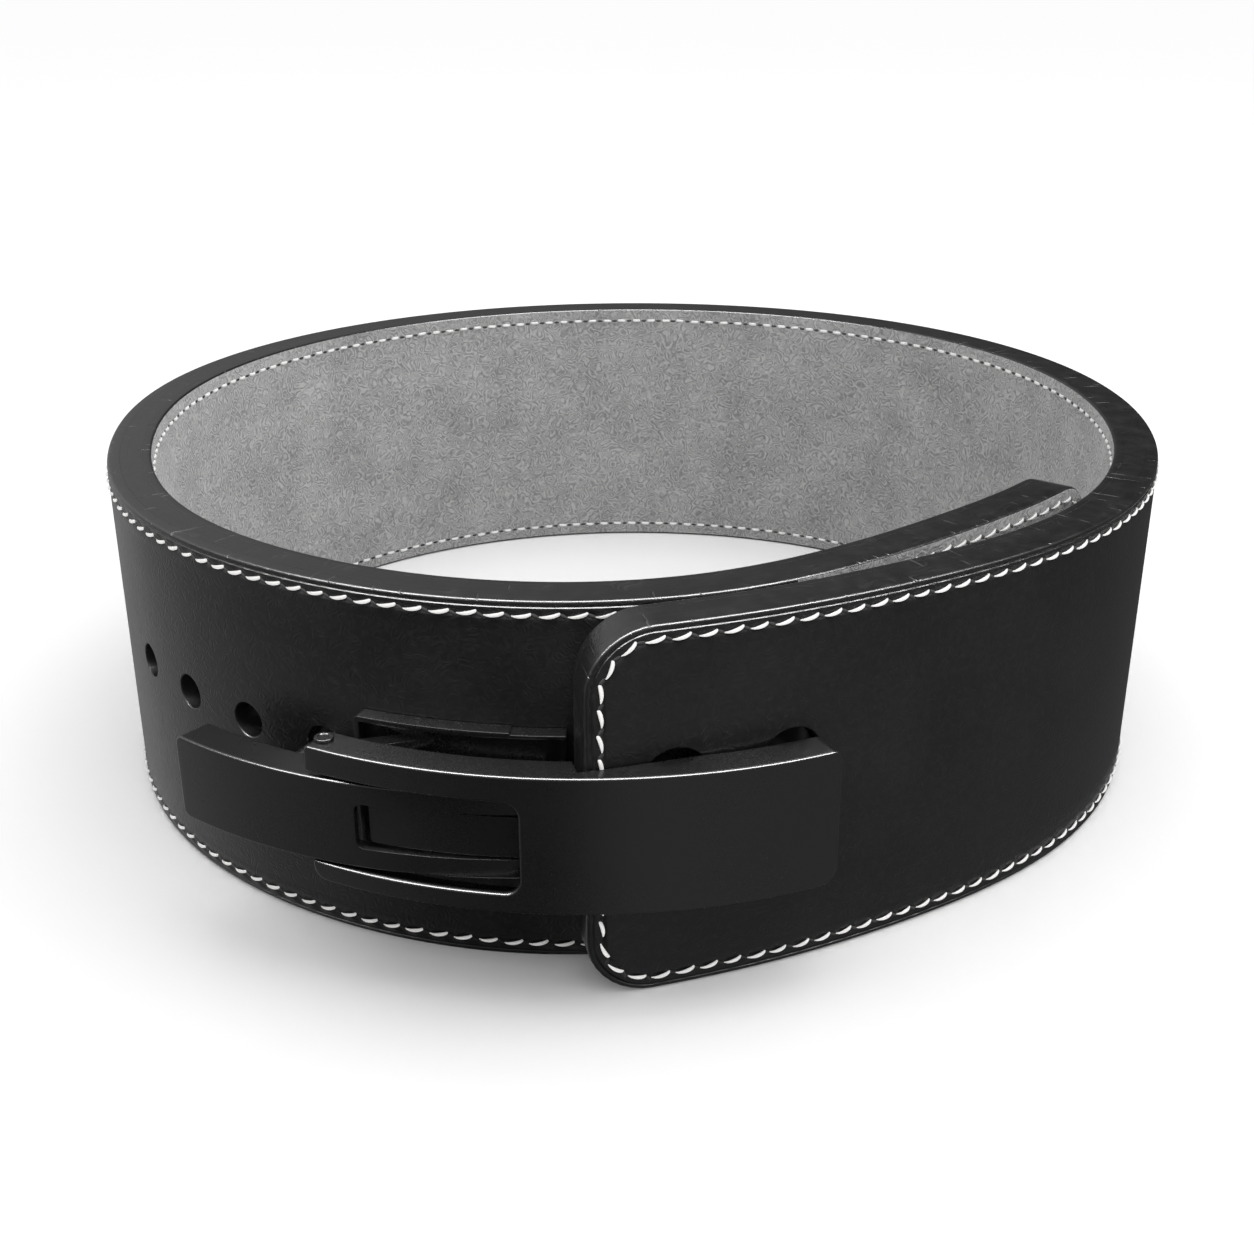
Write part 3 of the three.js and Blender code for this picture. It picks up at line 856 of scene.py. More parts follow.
# The strap and its stitching.
@dataclass
class Strap:
    """The strap's plies, cut flat, holed and then wrapped round the loop. Millimetres."""

    path: StrapPath
    bench: Bench
    finishes: Finishes
    lining: float = 2.4
    core: float = 6.6
    ply_gap: float = 0.03
    core_gap: float = 0.3
    corner: float = 17.0
    rim_bevel: float = 0.85
    tail_facing: float = 122.2
    coarse_length: float = 30.0
    slice_length: float = 3.75
    hook_hole_radius: float = 4.9
    hook_hole_height: float = 54.2
    hook_hole_pitch: float = 25.0
    hook_hole_count: int = 5
    hooked_hole: int = 3
    prong_left: float = 67.8
    post_hole_radius: float = 8.25
    post_hole_height: float = 59.3
    post_hole_arcs: Tuple[float, float] = (22.0, 52.0)
    lip: float = 0.45

    def __post_init__(self) -> None:
        """Works out the places that follow from the sizes."""
        self.outer_end_x = float(self.path.point(0, self.path.face)[0])
        self.hooked_arc = self.path.arc_behind(self.outer_end_x - self.prong_left)
        self.line = self.bench.line("strap line", self.path.points)

    def _cutters(self) -> List[bpy.types.Object]:
        """Makes what the holes remove: rods with a small flare at each face."""
        face = self.path.face
        holes = [
            (self.hooked_arc + (i - self.hooked_hole) * self.hook_hole_pitch,
             self.hook_hole_height, self.hook_hole_radius)
            for i in range(self.hook_hole_count)
        ]
        holes += [(arc, self.post_hole_height, self.post_hole_radius) for arc in self.post_hole_arcs]
        cutters = []
        for arc, height, radius in holes:
            quarter = (math.pi / 2, 0.0, 0.0)
            rod = self.bench.rod("hole", (arc, 0, height), radius, face * 4, 40, quarter)
            cutters.append(rod)
            for side in (-1, 1):
                bpy.ops.object.select_all(action="DESELECT")
                wide, narrow = radius + 2 * self.lip, radius - self.lip
                bpy.ops.mesh.primitive_cone_add(
                    vertices=40, radius1=narrow, radius2=wide, depth=self.lip * 3,
                    location=(arc, side * face, height), rotation=(-side * math.pi / 2, 0, 0),
                )
                cone = bpy.context.object
                bpy.ops.object.transform_apply(location=True, rotation=True, scale=True)
                cutters.append(cone)
        return cutters

    def _ply(
        self, name: str, first: float, last: float, outer: float, inner: float,
        outer_bevel: float, inner_bevel: float, faces: Tuple[bpy.types.Material, bpy.types.Material],
        holes: bool = True,
    ) -> bpy.types.Object:
        """Cuts one ply flat, holes it and wraps it.

        Args:
            name: The ply's name.
            first: Where it starts along the strap.
            last: Where it ends.
            outer: The offset of its outer face.
            inner: The offset of its inner face.
            outer_bevel: The rounding of its outer rim, or 0.
            inner_bevel: The rounding of its inner rim, or 0.
            faces: Its face material and its rim material.
            holes: Whether the holes go through it.

        Returns:
            The ply's object.
        """
        bench, top = self.bench, self.path.height
        obj = bench.block(name, (first, -outer, 0), (last, -inner, top))
        ends = [x for x, own in ((first, first == 0), (last, last == self.path.length)) if own]

        def at_end_corner(a: Vector, b: Vector) -> bool:
            """Tells whether an edge goes through the ply at a rounded end's corner."""
            return any(abs(a.x - x) < 1e-3 and abs(b.x - x) < 1e-3 for x in ends) and abs(a.y - b.y) > 0.1

        seams = [x for x in (first, last) if x not in ends]

        def outline_at(offset: float) -> Callable[[Vector, Vector], bool]:
            """Returns the test for the edges round one face of the ply, without its butted ends."""
            def test(a: Vector, b: Vector) -> bool:
                """Tells whether both ends lie on that face and not on a butted end."""
                butted = any(abs(a.x - x) < 1e-3 and abs(b.x - x) < 1e-3 for x in seams)
                return abs(a.y + offset) < 1e-3 and abs(b.y + offset) < 1e-3 and not butted
            return test

        bench.bevel_edges(obj, at_end_corner, self.corner, 9)
        for offset, width in ((outer, outer_bevel), (inner, inner_bevel)):
            if width:
                bench.bevel_edges(obj, outline_at(offset), width, 4)
        quarter = self.corner / 4
        start = self.corner + 0.5 if first == 0 else first + 2
        stop = last - self.corner - 0.5 if last == self.path.length else last - 2
        rounds = [quarter * i for i in range(1, 4)]
        cuts = [first + r for r in rounds] if first == 0 else []
        cuts += [last - r for r in rounds] if last == self.path.length else []
        bench.slice_x(obj, cuts + [start, stop])
        span, coarse = stop - start, self.coarse_length
        bench.divide_long(obj, min(60, span * 0.9), round(span / coarse) - 1)
        bench.divide_long(obj, 20, round(coarse / self.slice_length) - 1)
        if holes:
            bench.cut(obj, *self._cutters())
        bench.paint(obj, *faces)
        bench.map_flat(obj)
        bench.wrap(obj, self.line)
        return obj

    def build(self) -> None:
        """Builds the plies of the strap."""
        face, gap, length = self.path.face, self.ply_gap, self.path.length
        lining_top = -face + self.lining
        core_low = lining_top + self.core_gap
        core_top = core_low + self.core
        facing_from = length - self.tail_facing
        leather = (self.finishes.leather, self.finishes.edge)
        painted = (self.finishes.edge, self.finishes.edge)
        suede = (self.finishes.suede, self.finishes.edge)
        rim = self.rim_bevel
        outer_low = core_top + gap
        outer = self._ply(
            "outer_leather_cut", 0, facing_from, face, outer_low, rim, 0, leather,
        )
        self.bench.settle(outer, Body.BELT, Slot.LEATHER, replaces=["outer_leather"])
        middle = self._ply(
            "core_leather_cut", 0, length, core_top, core_low, 0, 0, painted,
        )
        self.bench.settle(middle, Body.BELT, Slot.EDGE, replaces=["core_leather"])
        inner = self._ply(
            "suede_lining_cut", 0, length, core_low - gap, -face, 0, rim, suede,
        )
        self.bench.settle(inner, Body.BELT, Slot.SUEDE, replaces=["suede_lining"])
        tail = self._ply(
            "tail_suede_cut", facing_from + 0.02, length, face, outer_low, rim, 0, suede, False,
        )
        self.bench.settle(tail, Body.BELT, Slot.SUEDE, replaces=["tail_suede_facing"])


class Side(Enum):
    """The faces of the strap that carry stitching, with the way out of them along y."""

    OUTER = -1
    INNER = 1


@dataclass
class Stitching:
    """One line of stitches round a face of the strap. Millimetres."""

    strap: Strap
    side: Side
    inset: float = 3.8
    pitch: float = 6.4
    length: float = 5.5
    width: float = 1.05
    thickness: float = 0.8
    tilt: float = 10.0
    curl: float = 0.3
    taper: float = 0.6
    sunk: float = 0.42
    seed: int = 7

    def _thread(self) -> bpy.types.Object:
        """Models one stitch flat at the origin, along x, with its ends turned down and its twist's UV."""
        bpy.ops.object.select_all(action="DESELECT")
        bpy.ops.mesh.primitive_cylinder_add(
            vertices=8, radius=0.5, depth=1, rotation=(0, math.pi / 2, 0), end_fill_type="TRIFAN",
        )
        obj = bpy.context.object
        bpy.ops.object.transform_apply(location=True, rotation=True, scale=True)
        self.strap.bench.slice_x(obj, [-0.42, -0.28, -0.12, 0.04, 0.2, 0.34, 0.44])
        for vertex in obj.data.vertices:
            along = vertex.co.x * 2
            slim = 0.35 + 0.65 * max(0.0, 1 - abs(along) ** 4) ** 0.5
            slim *= 1 - self.taper * max(0.0, 0.2 - along) ** 1.5
            side, out = vertex.co.z * slim, vertex.co.y * slim
            rise = 0.5 * self.thickness * (1 - abs(along) ** 2.6) - self.sunk * abs(along) ** 4
            vertex.co.x = along * self.length / 2
            vertex.co.z = side * self.width + self.curl * (along ** 2 - 0.3)
            vertex.co.y = out * self.thickness + self.side.value * rise
        layer = obj.data.uv_layers.new(name="thread")
        for loop in obj.data.loops:
            co = obj.data.vertices[loop.vertex_index].co
            layer.data[loop.index].uv = (co.x, math.atan2(co.z, co.y) / (2 * math.pi))
        return obj

    def _shadow_disc(self) -> bpy.types.Object:
        """Models a flat disc of painted shadow between two stitches, at the origin."""
        bpy.ops.object.select_all(action="DESELECT")
        bpy.ops.mesh.primitive_uv_sphere_add(segments=8, ring_count=4, radius=1)
        obj = bpy.context.object
        for vertex in obj.data.vertices:
            vertex.co.x *= 1.2
            vertex.co.y *= 0.09
            vertex.co.z *= 0.5
        return obj

    def _run(self) -> List[Tuple[float, float, float]]:
        """Finds the stitches' middles and directions, clockwise as seen from outside.

        Returns:
            The x, z and turn of each stitch.
        """
        length, top = self.strap.path.length, self.strap.path.height
        radius = self.strap.corner - self.inset
        left, right = self.inset, length - self.inset
        low, high = self.inset, top - self.inset
        legs: List[Tuple[float, Callable[[float], Tuple[float, float, float]]]] = []

        def straight(x: float, z: float, turn: float, reach: float) -> None:
            """Adds a straight leg from a point in a direction."""
            def at(s: float) -> Tuple[float, float, float]:
                """Returns the place at a distance along the leg."""
                return x + math.cos(turn) * s, z + math.sin(turn) * s, turn
            legs.append((reach, at))

        def bend(x: float, z: float, turn: float) -> None:
            """Adds a quarter turn to the right about a centre, entered in a direction."""
            def at(s: float) -> Tuple[float, float, float]:
                """Returns the place at a distance along the bend."""
                now = turn - s / radius
                return x - math.sin(now) * radius, z + math.cos(now) * radius, now
            legs.append((radius * math.pi / 2, at))

        straight(left, low + radius, math.pi / 2, high - low - 2 * radius)
        bend(left + radius, high - radius, math.pi / 2)
        straight(left + radius, high, 0, right - left - 2 * radius)
        bend(right - radius, high - radius, 0)
        straight(right, high - radius, -math.pi / 2, high - low - 2 * radius)
        bend(right - radius, low + radius, -math.pi / 2)
        straight(right - radius, low, math.pi, right - left - 2 * radius)
        bend(left + radius, low + radius, math.pi)
        total = sum(reach for reach, _ in legs)
        count = round(total / self.pitch)
        places = []
        for i in range(count):
            distance = total * (i + 0.5) / count
            for reach, at in legs:
                if distance <= reach:
                    places.append(at(distance))
                    break
                distance -= reach
        lowest = low + radius
        return [(x, z, turn + math.pi if z < lowest - 0.1 else turn) for x, z, turn in places]

    def _copies(self, template: bpy.types.Object, places: np.ndarray, level: float) -> bpy.types.Object:
        """Copies a shape to many places as one mesh.

        Args:
            template: The shape at the origin.
            places: One row of x, z, turn and size for each copy.
            level: Where the shape's middle lies along y.

        Returns:
            The object with all the copies.
        """
        mesh = template.data
        base = np.zeros(len(mesh.vertices) * 3)
        mesh.vertices.foreach_get("co", base)
        base = base.reshape(-1, 3)
        cos, sin = np.cos(places[:, 2])[:, None], np.sin(places[:, 2])[:, None]
        size = places[:, 3][:, None]
        x = places[:, 0][:, None] + (base[:, 0] * cos - base[:, 2] * sin) * size
        z = places[:, 1][:, None] + (base[:, 0] * sin + base[:, 2] * cos) * size
        y = np.broadcast_to(base[:, 1] + level, x.shape)
        points = np.stack([x, y, z], 2).reshape(-1, 3)
        faces = [tuple(polygon.vertices) for polygon in mesh.polygons]
        many = [tuple(v + i * len(base) for v in face) for i in range(len(places)) for face in faces]
        made = bpy.data.meshes.new(template.name + " copies")
        made.from_pydata(points.tolist(), [], many)
        if mesh.uv_layers:
            values = np.zeros(len(mesh.loops) * 2)
            mesh.uv_layers[0].data.foreach_get("uv", values)
            layer = made.uv_layers.new(name=mesh.uv_layers[0].name)
            layer.data.foreach_set("uv", np.tile(values, len(places)))
        obj = bpy.data.objects.new(template.name + " copies", made)
        bpy.context.scene.collection.objects.link(obj)
        bpy.data.objects.remove(template)
        return obj

    def build(self) -> bpy.types.Object:
        """Builds the line of stitches and the discs of painted shadow between them."""
        bench, finishes = self.strap.bench, self.strap.finishes
        rng = np.random.default_rng(self.seed)
        run = np.array(self._run())
        level = self.side.value * self.strap.path.face
        lean = math.radians(self.tilt) if self.side is Side.OUTER else 0.0
        jitter = rng.normal(0, 1, (len(run), 4))
        stitches = np.column_stack([
            run[:, 0] + jitter[:, 0] * 0.1,
            run[:, 1] + jitter[:, 1] * 0.08,
            run[:, 2] + lean + jitter[:, 2] * 0.035,
            1 + jitter[:, 3] * 0.03,
        ])
        half = self.pitch / 2
        # Discs of painted shadow in the gaps between the stitches.
        shadow_discs = np.column_stack([
            run[:, 0] + np.cos(run[:, 2]) * half,
            run[:, 1] + np.sin(run[:, 2]) * half - 0.1,
            run[:, 2] - 3 * lean,
            np.ones(len(run)),
        ])
        thread = self._copies(self._thread(), stitches, level)
        thread.data.materials.append(finishes.thread)
        # Here hollow holds the discs of painted shadow, which are not a cut.
        hollow = self._copies(self._shadow_disc(), shadow_discs, level)
        hollow.data.materials.append(finishes.stitch_shadow)
        bench.join(thread, hollow)
        thread.name = "stitches_" + self.side.name.lower()
        bench.only(thread)
        bpy.ops.object.mode_set(mode="EDIT")
        bpy.ops.mesh.select_all(action="SELECT")
        bpy.ops.mesh.normals_make_consistent(inside=False)
        bpy.ops.object.mode_set(mode="OBJECT")
        bench.wrap(thread, self.strap.line)
        return bench.settle(thread, Body.BELT, Slot.LEATHER, angle=80)


# The buckle.
@dataclass(frozen=True)
class LeverPlace:
    """Where the lever's face and its pivot lie from the strap's outer end, in millimetres."""

    radius: float = 142.0
    crown: float = 0.9
    standoff: float = 4.4
    pivot_left: float = 63.7
    pivot_depth: float = 5.0

    def arc(self, path: StrapPath) -> BuckleArc:
        """Returns the arc of the lever's outer face."""
        x, y = path.point(0, path.face)
        return BuckleArc((float(x) - self.crown, float(y) - self.standoff + self.radius), self.radius)

    def pivot(self, path: StrapPath) -> Tuple[float, float]:
        """Returns the pivot's place in plan."""
        x = float(path.point(0, path.face)[0]) - self.pivot_left
        return self.arc(path).point_at(x, self.pivot_depth)


@dataclass
class Buckle:
    """The lever, the hook plate and the base plate with their pins and posts. Millimetres.

    Places along x are measured from the strap's outer end, to the left unless their name says right.
    """

    strap: Strap
    place: LeverPlace = LeverPlace()
    sheet: float = 2.0
    clearance: float = 0.3
    lever_clearance: float = 0.6
    lever_left: float = 68.5
    lever_right: float = 62.2
    lever_depth: float = 9.4
    lever_height: float = 37.4
    lever_middle: float = 46.3
    slot_middle: float = 45.4
    slot_height: float = 25.0
    slot_right: float = 15.8
    slot_corner: float = 4.0
    hook_radius: float = 139.2
    hook_proud: float = 0.8
    hook_sink: float = 5.8
    hook_left: float = 105.6
    hook_right: float = 9.6
    hook_depth: float = 10.0
    hook_play: float = 0.7
    window_left: float = 56.2
    window_right: float = 14.8
    window_height: float = 12.3
    window_corner: float = 2.0
    tab_gap: float = 0.6
    tab_end_gap: float = 2.8
    tab_bend: float = 3.9
    prong_radius: float = 2.8
    prong_height: float = 53.6
    prong_reach: float = 8.0
    tray_sheet: float = 1.5
    tray_depth: float = 4.7
    tray_height: float = 42.0
    tray_left: float = 56.1
    tray_right: float = 4.7
    tray_step_left: float = 18.0
    tray_step: float = 0.5
    riser_left: float = 6.0
    bar_height: float = 26.0
    bar_end: float = 57.5
    ear_sheet: float = 2.3
    ear_wall: float = 1.0
    ear_inset: float = 12.0
    ear_foot: float = 8.0
    pivot_radius: float = 1.4
    pivot_head_radius: float = 2.4
    pivot_head_height: float = 0.5
    link_inset: float = 3.3
    link_depth: float = 5.1
    link_radius: float = 2.0
    post_shank_radius: float = 4.0
    post_shank_drop: float = 2.8
    post_recess: float = 4.0
    edge_round: float = 0.8
    cut_round: float = 0.25
    slice_step: float = 2.5
    bore_play: float = 0.15
    head_play: float = 0.05
    head_dome: float = 0.25
    head_round: float = 0.22
    ring_share: float = 0.62
    ring_depth: float = 0.18
    ring_round: float = 0.06
    shank_round: float = 0.15
    post_slot_reach: float = 5.5
    post_slot_half: float = 0.7
    post_slot_depth: float = 0.9

    def __post_init__(self) -> None:
        """Works out the arcs and the pivot from the strap's outer end."""
        path = self.strap.path
        self.end_x = float(path.point(0, path.face)[0])
        self.lever_arc = self.place.arc(path)
        self.pivot = self.place.pivot(path)
        left = np.array(self.lever_arc.point_at(self.end_x - self.lever_left, -self.hook_proud))
        right = np.array(self.lever_arc.point_at(self.end_x - self.slot_right, self.hook_sink))
        chord = right - left
        rise = math.sqrt(self.hook_radius ** 2 - float(chord @ chord) / 4)
        across = np.array([-chord[1], chord[0]]) / np.linalg.norm(chord)
        middle = left + chord / 2 + across * rise
        self.hook_arc = BuckleArc((float(middle[0]), float(middle[1])), self.hook_radius)
        self.link = self.hook_arc.point_at(self.end_x - self.hook_right - self.link_inset, self.link_depth)
        self.lever_low = self.lever_middle - self.lever_height / 2
        self.lever_high = self.lever_middle + self.lever_height / 2
        self.slot_low = self.slot_middle - self.slot_height / 2
        self.slot_high = self.slot_middle + self.slot_height / 2
        self.hook_low = self.slot_low + self.hook_play
        self.hook_high = self.slot_high - self.hook_play

    @property
    def bench(self) -> Bench:
        """The bench that the strap was made on."""
        return self.strap.bench

    def _arc_line(self, name: str, arc: BuckleArc) -> bpy.types.Object:
        """Adds a curve along the front half of an arc's circle, from its leftmost point."""
        turns = np.linspace(-math.pi, 0, 361)
        points = np.stack([
            arc.centre[0] + arc.radius * np.cos(turns), arc.centre[1] + arc.radius * np.sin(turns),
        ], 1)
        return self.bench.line(name, points)

    def _plate(
        self, name: str, low: Point, high: Point, plan: Tuple[float, float],
        corners: Dict[Tuple[int, int], float],
    ) -> bpy.types.Object:
        """Adds a flat block with rounded edges.

        Args:
            name: The object's name.
            low: Its lowest corner.
            high: Its highest corner.
            plan: The rounding of its left end's front and back edge.
            corners: The rounding of its face's corners, by side, -1 or 1, along x and z.

        Returns:
            The new object.
        """
        obj = self.bench.block(name, low, high)

        def upright(y: float) -> Callable[[Vector, Vector], bool]:
            """Returns the test for the left end's upright edge at a depth."""
            def test(a: Vector, b: Vector) -> bool:
                """Tells whether an edge is that one."""
                return all(abs(v.x - low[0]) < 1e-3 and abs(v.y - y) < 1e-3 for v in (a, b))
            return test

        def through(x: float, z: float) -> Callable[[Vector, Vector], bool]:
            """Returns the test for the edge along y at a corner of the face."""
            def test(a: Vector, b: Vector) -> bool:
                """Tells whether an edge is that one."""
                return all(abs(v.x - x) < 1e-3 and abs(v.z - z) < 1e-3 for v in (a, b))
            return test

        for (side, up), radius in corners.items():
            x = low[0] if side < 0 else high[0]
            z = low[2] if up < 0 else high[2]
            self.bench.bevel_edges(obj, through(x, z), radius, 6)
        for y, radius in zip((low[1], high[1]), plan):
            if radius:
                self.bench.bevel_edges(obj, upright(y), radius, 5)
        return obj

    def _strap_room(self) -> bpy.types.Object:
        """Makes the strap's outer end grown by the lever's clearance, as a wrapped block."""
        path = self.strap.path
        reach = self.lever_left + self.lever_right
        low = (-self.sheet, -path.face - self.lever_clearance, 0)
        room = self.bench.block("strap room", low, (reach, path.face, path.height))
        self.bench.slice_x(room, list(np.arange(0, reach, 3.0)))
        self.bench.wrap(room, self.strap.line)
        return room

    def lever(self) -> None:
        """Builds the lever: a channel with a forked left end, wrapped on its arc."""
        bench, arc = self.bench, self.lever_arc
        left = arc.reach_to(self.end_x - self.lever_left)
        right = arc.reach_to(self.end_x + self.lever_right)
        low, high = self.lever_low, self.lever_high
        corners = {(-1, 1): 1.5, (-1, -1): 4.0, (1, 1): 3.0, (1, -1): 4.5}
        obj = self._plate("lever_form", (left, 0, low), (right, self.lever_depth, high), (0, 4.5), corners)
        depth = self.lever_depth + 1
        hollow = bench.block(
            "hollow", (left - 1, self.sheet, low + self.sheet),
            (right - self.sheet, depth, high - self.sheet),
        )
        bench.cut(obj, hollow)
        slot_right = arc.reach_to(self.end_x - self.slot_right)
        radius = self.slot_corner
        slot = self._plate(
            "slot", (left - 1, -1, self.slot_low), (slot_right, self.sheet + 1, self.slot_high),
            (0, 0), {(1, 1): radius, (1, -1): radius},
        )
        bench.cut(obj, slot)
        bench.soften(obj, self.edge_round, 3)
        bench.slice_x(obj, list(np.arange(left + self.slice_step, right - 1, self.slice_step)))
        bench.wrap(obj, self._arc_line("lever line", arc))
        bench.cut(obj, self._strap_room())
        for z in (low + self.sheet / 2, high - self.sheet / 2):
            bench.cut(obj, bench.rod(
                "bore", (*self.pivot, z), self.pivot_radius + self.bore_play, self.sheet * 2,
            ))
        bench.settle(obj, Body.LEVER, Slot.STEEL, self.strap.finishes.steel, ["lever"])

    def hook_plate(self) -> None:
        """Builds the hook plate with its window, its pressed tab and its prong."""
        bench, arc = self.bench, self.hook_arc
        left = arc.reach_to(self.end_x - self.hook_left)
        right = arc.reach_to(self.end_x - self.hook_right)
        low, high = self.hook_low, self.hook_high
        obj = self._plate(
            "hook_plate_form", (left, 0, low), (right, self.hook_depth, high), (0, 2.5),
            {(-1, 1): 2.5, (-1, -1): 2.5},
        )
        hollow = bench.block(
            "hollow", (left + self.sheet, self.sheet, low + self.sheet),
            (right + 1, self.hook_depth + 1, high - self.sheet),
        )
        bench.cut(obj, hollow)
        bench.soften(obj, self.edge_round, 3)
        window_left = arc.reach_to(self.end_x - self.window_left)
        window_right = arc.reach_to(self.end_x - self.window_right)
        half = self.window_height / 2
        corner = self.window_corner
        window = self._plate(
            "window", (window_left, -1, self.slot_middle - half),
            (window_right, self.sheet + 1, self.slot_middle + half),
            (0, 0), {(-1, 1): corner, (-1, -1): corner},
        )
        bench.cut(obj, window)
        bench.soften(obj, self.cut_round, 2)
        bench.slice_x(obj, list(np.arange(left + self.slice_step, right - 1, self.slice_step)))
        line = self._arc_line("hook line", arc)
        bench.wrap(obj, line)
        half -= self.tab_gap
        tab = self._plate(
            "tab", (window_left + self.tab_end_gap, 0, self.slot_middle - half),
            (window_right + self.sheet, self.sheet, self.slot_middle + half),
            (0, 0), {(-1, 1): 1.2, (-1, -1): 1.2},
        )
        bench.soften(tab, self.cut_round, 2)
        bench.slice_x(tab, list(np.arange(window_left + 5, window_right, 2.5)))
        bench.wrap(tab, line)
        hinge = arc.point_at(self.end_x - self.window_right)
        bench.only(tab)
        turn = -math.radians(self.tab_bend)
        places = np.array([vertex.co[:2] for vertex in tab.data.vertices]) - hinge
        spun = places @ np.array([[math.cos(turn), math.sin(turn)], [-math.sin(turn), math.cos(turn)]])
        for vertex, place in zip(tab.data.vertices, spun + hinge):
            vertex.co.x, vertex.co.y = place
        prong = self._prong()
        bench.join(obj, tab, prong)
        bench.settle(obj, Body.BELT, Slot.STEEL, self.strap.finishes.steel, ["hook_plate"])

    def _prong(self) -> bpy.types.Object:
        """Makes the prong from behind the hook plate's face into its hole."""
        path = self.strap.path
        middle = path.point(self.strap.hooked_arc, path.face)
        outer = path.point(self.strap.hooked_arc, path.face + 1)
        normal = outer - middle
        start = middle - np.array(self.hook_arc.centre)
        along = float(start @ normal)
        target = self.hook_radius - self.sheet / 2
        reach = -along + math.sqrt(along ** 2 - float(start @ start) + target ** 2)
        length = reach + self.prong_reach
        place = middle + normal * (reach - self.prong_reach) / 2
        turn = (0.0, math.pi / 2, math.atan2(float(normal[1]), float(normal[0])))
        prong = self.bench.rod(
            "prong", (*place, self.prong_height), self.prong_radius, length, 24, turn,
        )
        self.bench.soften(prong, 0.5, 2)
        return prong

    def base_plate(self) -> None:
        """Builds the base plate: tray, riser, bar and ears."""
        bench, strap, path = self.bench, self.strap, self.strap.path
        floor = path.face + self.clearance
        wall = floor + self.tray_depth
        low = self.lever_middle - self.tray_height / 2
        high = self.lever_middle + self.tray_height / 2
        left = path.arc_behind(self.end_x - self.tray_left)
        right = path.arc_behind(self.end_x - self.tray_right)
        sheet = self.tray_sheet
        tray = self._plate("base_plate_form", (left, -wall, low), (right, -floor, high), (0, 0), {
            (-1, 1): 1.2, (-1, -1): 1.2,
        })
        hollow = bench.block(
            "hollow", (left + sheet, -wall - 1, low + sheet), (right + 1, -floor - sheet, high - sheet),
        )
        bench.cut(tray, hollow)
        step = path.arc_behind(self.end_x - self.tray_step_left)
        bench.cut(tray, bench.block(
            "step", (step, -wall - 1, high - self.tray_step), (right + 1, -floor + 1, high + 1),
        ))
        bench.soften(tray, 0.3, 2)
        bench.slice_x(tray, list(np.arange(left + 3, right - 1, 3.0)))
        bench.wrap(tray, strap.line)
        bar_low = self.lever_middle - self.bar_height / 2
        bar_high = self.lever_middle + self.bar_height / 2
        bar = bench.block("bar", (0, -floor - sheet, bar_low), (self.bar_end, -floor, bar_high))
        bench.slice_x(bar, list(np.arange(3, self.bar_end - 1, 3.0)))
        bench.wrap(bar, strap.line)
        pieces = [bar, self._riser(right, floor, bar_low, bar_high)]
        upper = self.lever_high - self.sheet - self.clearance
        lower = self.lever_low + self.sheet + self.clearance
        pieces.append(self._ear(left, floor, upper - self.ear_sheet, upper))
        pieces.append(self._ear(left, floor, lower, lower + self.ear_sheet))
        for piece in pieces[1:]:
            bench.soften(piece, 0.2, 2)
        bench.join(tray, *pieces)
        bench.settle(tray, Body.BELT, Slot.STEEL, strap.finishes.steel, ["base_plate"])

    def _prism(
        self, name: str, points: Sequence[Sequence[float]], low: float, high: float,
    ) -> bpy.types.Object:
        """Extrudes an outline in plan from one height to another.

        Args:
            name: The object's name.
            points: The outline, in order.
            low: The lower height.
            high: The upper height.

        Returns:
            The new object.
        """
        bench = self.bench
        bpy.ops.object.select_all(action="DESELECT")
        bpy.ops.mesh.primitive_circle_add(vertices=len(points), radius=1, fill_type="NGON")
        obj = bpy.context.object
        obj.name = name
        for vertex, point in zip(obj.data.vertices, points):
            vertex.co = (float(point[0]), float(point[1]), low)
        bench.only(obj)
        bpy.ops.object.mode_set(mode="EDIT")
        bpy.ops.mesh.select_all(action="SELECT")
        bpy.ops.mesh.extrude_region_move(TRANSFORM_OT_translate={"value": (0, 0, high - low)})
        bpy.ops.mesh.select_all(action="SELECT")
        bpy.ops.mesh.normals_make_consistent(inside=False)
        bpy.ops.object.mode_set(mode="OBJECT")
        return obj

    def _riser(self, right: float, floor: float, low: float, high: float) -> bpy.types.Object:
        """Makes the plate that steps from the tray round the strap's outer end to the bar."""
        path, half, sheet = self.strap.path, self.tray_sheet / 2, self.tray_sheet
        foot = path.point(right, floor + half)
        front = path.point(0, floor)
        back = path.point(self.sheet, floor + sheet)
        x = self.end_x - self.riser_left
        return self._prism("riser", [
            (x - half, front[1] - half), (front[0], back[1]), back, front,
            (x + half, front[1] + half / 2), (x + half, foot[1] + half),
            (foot[0] - sheet, foot[1] + half), (x - half, foot[1] - half),
        ], low, high)

    def _ear(self, left: float, floor: float, low: float, high: float) -> bpy.types.Object:
        """Makes an ear from the tray's floor to the pivot, with a round end."""
        path, middle = self.strap.path, floor + self.tray_sheet / 2
        far = path.point(left + self.ear_inset, middle)
        near = path.point(left + self.ear_inset + self.ear_foot, middle)
        radius = self.pivot_radius + self.clearance + self.ear_wall
        towards = math.atan2(self.pivot[1] - far[1], self.pivot[0] - far[0])
        turns = [towards - math.pi / 2 + math.pi * i / 12 for i in range(13)]
        tip = [(self.pivot[0] + radius * math.cos(t), self.pivot[1] + radius * math.sin(t)) for t in turns]
        return self._prism("ear", [near, far, *tip], low, high)

